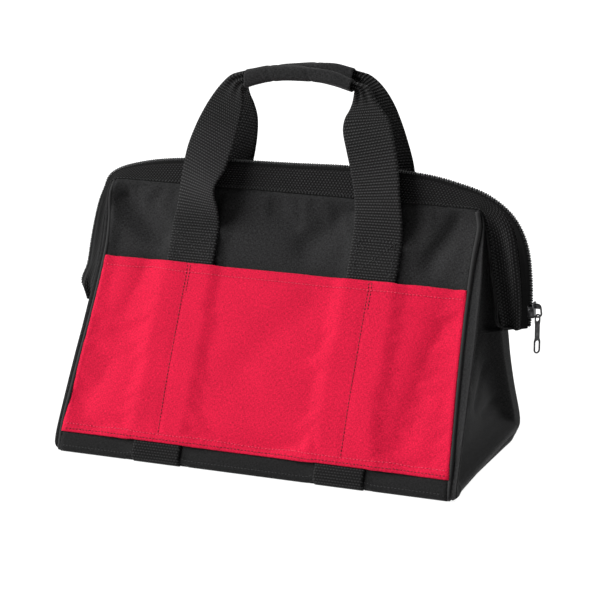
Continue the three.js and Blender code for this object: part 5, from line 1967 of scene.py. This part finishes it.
# Stitching of the straps: a bar at the top of the sewn part, and a crossed box below it
BAR_Z = {"left": 170, "right": 176}
BOX_INSET = 4
BOX_BOTTOM = 147
BOX_GAP = 4
BAR_DROP = 1
BAR_INSET = 1
STRIP_STITCH_Z = 7.5
STRIP_REACH = 0.97 * FOLD_HALF_WIDTH
STRIP_CLEAR = 0.5
SEAM_START = FOLD_TOP_Z + 6
SEAM_END = POCKET_TOP_Z - 0.8
# Points along each kind of stitch line
HEM_POINTS = 140
SEAM_POINTS = 80
TACK_POINTS = 20
BOX_POINTS = 24
STRIP_POINTS = 160


class BAG_OT_stitches(bpy.types.Operator):
    """Build the stitch rows of the pockets, straps, panels and bands"""

    bl_idname = "bag.stitches"
    bl_label = "Stitches"

    def execute(self, context):
        sizes = context.scene.bag_sizes
        pitch = sizes.stitch_pitch / MM
        radius = sizes.thread_radius / MM
        rows = {
            "pocket_stitches": (self.edge_lines(), "red_thread"),
            # The seam stitches carry painted shade in their darker thread
            "seam_stitches": (self.seam_lines(), "shaded_seam_thread"),
        }
        for name, (lines, colour) in rows.items():
            threads = Threads()
            for x, z in lines:
                threads.row(*on_pocket(x, z), pitch, radius)
            material = dyed_cloth(context, f"Thread of {name}", "thread", colour)
            place_piece(threads.make(name), "red_cloth", material)
        black = Threads()
        for name in FACES:
            for x, z in self.strap_lines():
                black.row(*on_wall(name, x, z, GAP + WEBBING), pitch, radius)
            for x in self.strip_runs():
                black.row(*on_wall(name, x, np.full(len(x), STRIP_STITCH_Z)), pitch, radius)
            grid, normals, _ = mouth_sheet(name, *BAND_GRID)
            black.row(grid[:, 1], normals[:, 1], pitch, radius)
        material = dyed_cloth(context, "Black thread", "thread", "black_thread")
        place_piece(black.make("black_stitches"), "black_cloth", material)
        return {"FINISHED"}

    def across(self, z):
        """A line right across the pocket panel at a height, as places across and up."""
        part = np.linspace(-POCKET_SIDE, POCKET_SIDE, HEM_POINTS)
        return across_wall(FACES["front"], part, z), np.full(len(part), z)

    def upward(self, x, start, count):
        """A line up to the top of the pocket panel, as places across and up."""
        return np.full(count, x), np.linspace(start, SEAM_END, count)

    def edge_lines(self):
        """Stitches along the pocket panel's hem and its foot."""
        return [self.across(z) for z in (POCKET_TOP_Z - HEM_STITCH, FOLD_TOP_Z + FOOT_STITCHES[1])]

    def seam_lines(self):
        """Stitches between the pockets and at the lowest edge."""
        lines = [self.across(FOLD_TOP_Z + FOOT_STITCHES[0])]
        for x in (-STRAP_X, STRAP_X):
            lines.append(self.upward(x, SEAM_START, SEAM_POINTS))
            lines.append(self.upward(x + SEAM_TACK_GAP, POCKET_TOP_Z - SEAM_TACK, TACK_POINTS))
        return lines

    def strap_lines(self):
        """Stitches on the sewn part of both straps: a bar, and a crossed box below it."""
        lines = []
        part = np.linspace(0, 1, BOX_POINTS)
        bar_x = WEBBING_WIDTH / 2 - BAR_INSET
        box_x = WEBBING_WIDTH / 2 - BOX_INSET
        for side, sign in SIDES.items():
            bar = BAR_Z[side] - BAR_DROP
            top = bar - BOX_GAP
            ends = (
                (-bar_x, bar, bar_x, bar),
                (-box_x, top, box_x, top),
                (-box_x, top, -box_x, BOX_BOTTOM),
                (box_x, top, box_x, BOX_BOTTOM),
                (-box_x, top, box_x, BOX_BOTTOM),
                (-box_x, BOX_BOTTOM, box_x, top),
            )
            for x1, z1, x2, z2 in ends:
                x = sign * STRAP_X + lerp(x1, x2, part)
                lines.append((x, np.minimum(lerp(z1, z2, part), SEWN_TOP_Z)))
        return lines

    def strip_runs(self):
        """Places across of the stitches on the strip at a wall's foot, which stop at the straps."""
        x = np.linspace(-1, 1, STRIP_POINTS) * STRIP_REACH
        clear = from_strap(x) > WEBBING_WIDTH / 2 + STRIP_CLEAR
        parts = np.split(np.arange(len(x)), np.flatnonzero(np.diff(clear)) + 1)
        return [x[part] for part in parts if clear[part[0]] and len(part) > 2]


class BAG_OT_stage(bpy.types.Operator):
    """Build the floor, the studio light and the camera"""

    bl_idname = "bag.stage"
    bl_label = "Stage"

    def execute(self, context):
        scene = context.scene
        scene.view_settings.view_transform = "Standard"
        floor_mesh = bpy.data.meshes.new("floor")
        corners = [(FLOOR_REACH * x, FLOOR_REACH * y, 0) for x, y in ((-1, -1), (1, -1), (1, 1), (-1, 1))]
        floor_mesh.from_pydata(corners, [], [(0, 1, 2, 3)])
        floor = bpy.data.objects.new("floor", floor_mesh)
        scene.collection.objects.link(floor)
        material, nodes, shader = new_material("Pale floor")
        place = nodes.add("ShaderNodeTexCoord").outputs["Object"]
        tone = nodes.spread(nodes.noise(place, 2.0, 2.0), to_min=FLOOR_TONES[0], to_max=FLOOR_TONES[1])
        nodes.link(tone, shader.inputs["Base Color"])
        shader.inputs["Roughness"].default_value = FLOOR_ROUGHNESS
        shader.inputs["Specular IOR Level"].default_value = 0.0
        shader.inputs["Emission Color"].default_value = (1, 1, 1, 1)
        shader.inputs["Emission Strength"].default_value = FLOOR_GLOW
        floor_mesh.materials.append(material)
        for name, place, strength, spread in LIGHTS:
            sun = bpy.data.lights.new(name, "SUN")
            sun.energy = strength
            sun.angle = spread
            light = bpy.data.objects.new(name, sun)
            light.rotation_euler = (-Vector(place)).to_track_quat("-Z", "Y").to_euler()
            scene.collection.objects.link(light)
        world = bpy.data.worlds.new("studio")
        world.use_nodes = True
        background = next(node for node in world.node_tree.nodes if node.type == "BACKGROUND")
        background.inputs["Color"].default_value = (1, 1, 1, 1)
        background.inputs["Strength"].default_value = SKY_STRENGTH
        scene.world = world
        lens = bpy.data.cameras.new("camera")
        lens.lens = CAMERA_LENS
        lens.sensor_width = SENSOR_WIDTH
        camera = bpy.data.objects.new("camera", lens)
        camera.location = CAMERA_PLACE
        camera.rotation_euler = CAMERA_TURN
        scene.collection.objects.link(camera)
        scene.camera = camera
        return {"FINISHED"}


BUILDERS = (
    BAG_OT_panels,
    BAG_OT_base,
    BAG_OT_gussets,
    BAG_OT_piping,
    BAG_OT_pocket,
    BAG_OT_straps,
    BAG_OT_grips,
    BAG_OT_bands,
    BAG_OT_zip,
    BAG_OT_slider,
    BAG_OT_pull,
    BAG_OT_stitches,
    BAG_OT_stage,
)


class BAG_PT_panel(bpy.types.Panel):
    """Lists the pieces of the bag and the sizes and colours of their finish"""

    bl_label = "Tool bag"
    bl_space_type = "VIEW_3D"
    bl_region_type = "UI"
    bl_category = "Tool bag"

    def draw(self, context):
        for settings in (context.scene.bag_sizes, context.scene.bag_colours):
            column = self.layout.column()
            for name in settings.__annotations__:
                column.prop(settings, name)
        for builder in BUILDERS:
            self.layout.operator(builder.bl_idname)


CLASSES = (BagSizes, BagColours, *BUILDERS, BAG_PT_panel)


def register():
    for made in CLASSES:
        bpy.utils.register_class(made)
    bpy.types.Scene.bag_sizes = bpy.props.PointerProperty(type=BagSizes)
    bpy.types.Scene.bag_colours = bpy.props.PointerProperty(type=BagColours)


def unregister():
    del bpy.types.Scene.bag_colours
    del bpy.types.Scene.bag_sizes
    for made in reversed(CLASSES):
        bpy.utils.unregister_class(made)


def main():
    register()
    for builder in BUILDERS:
        area, name = builder.bl_idname.split(".")
        getattr(getattr(bpy.ops, area), name)()


if __name__ == "__main__":
    main()
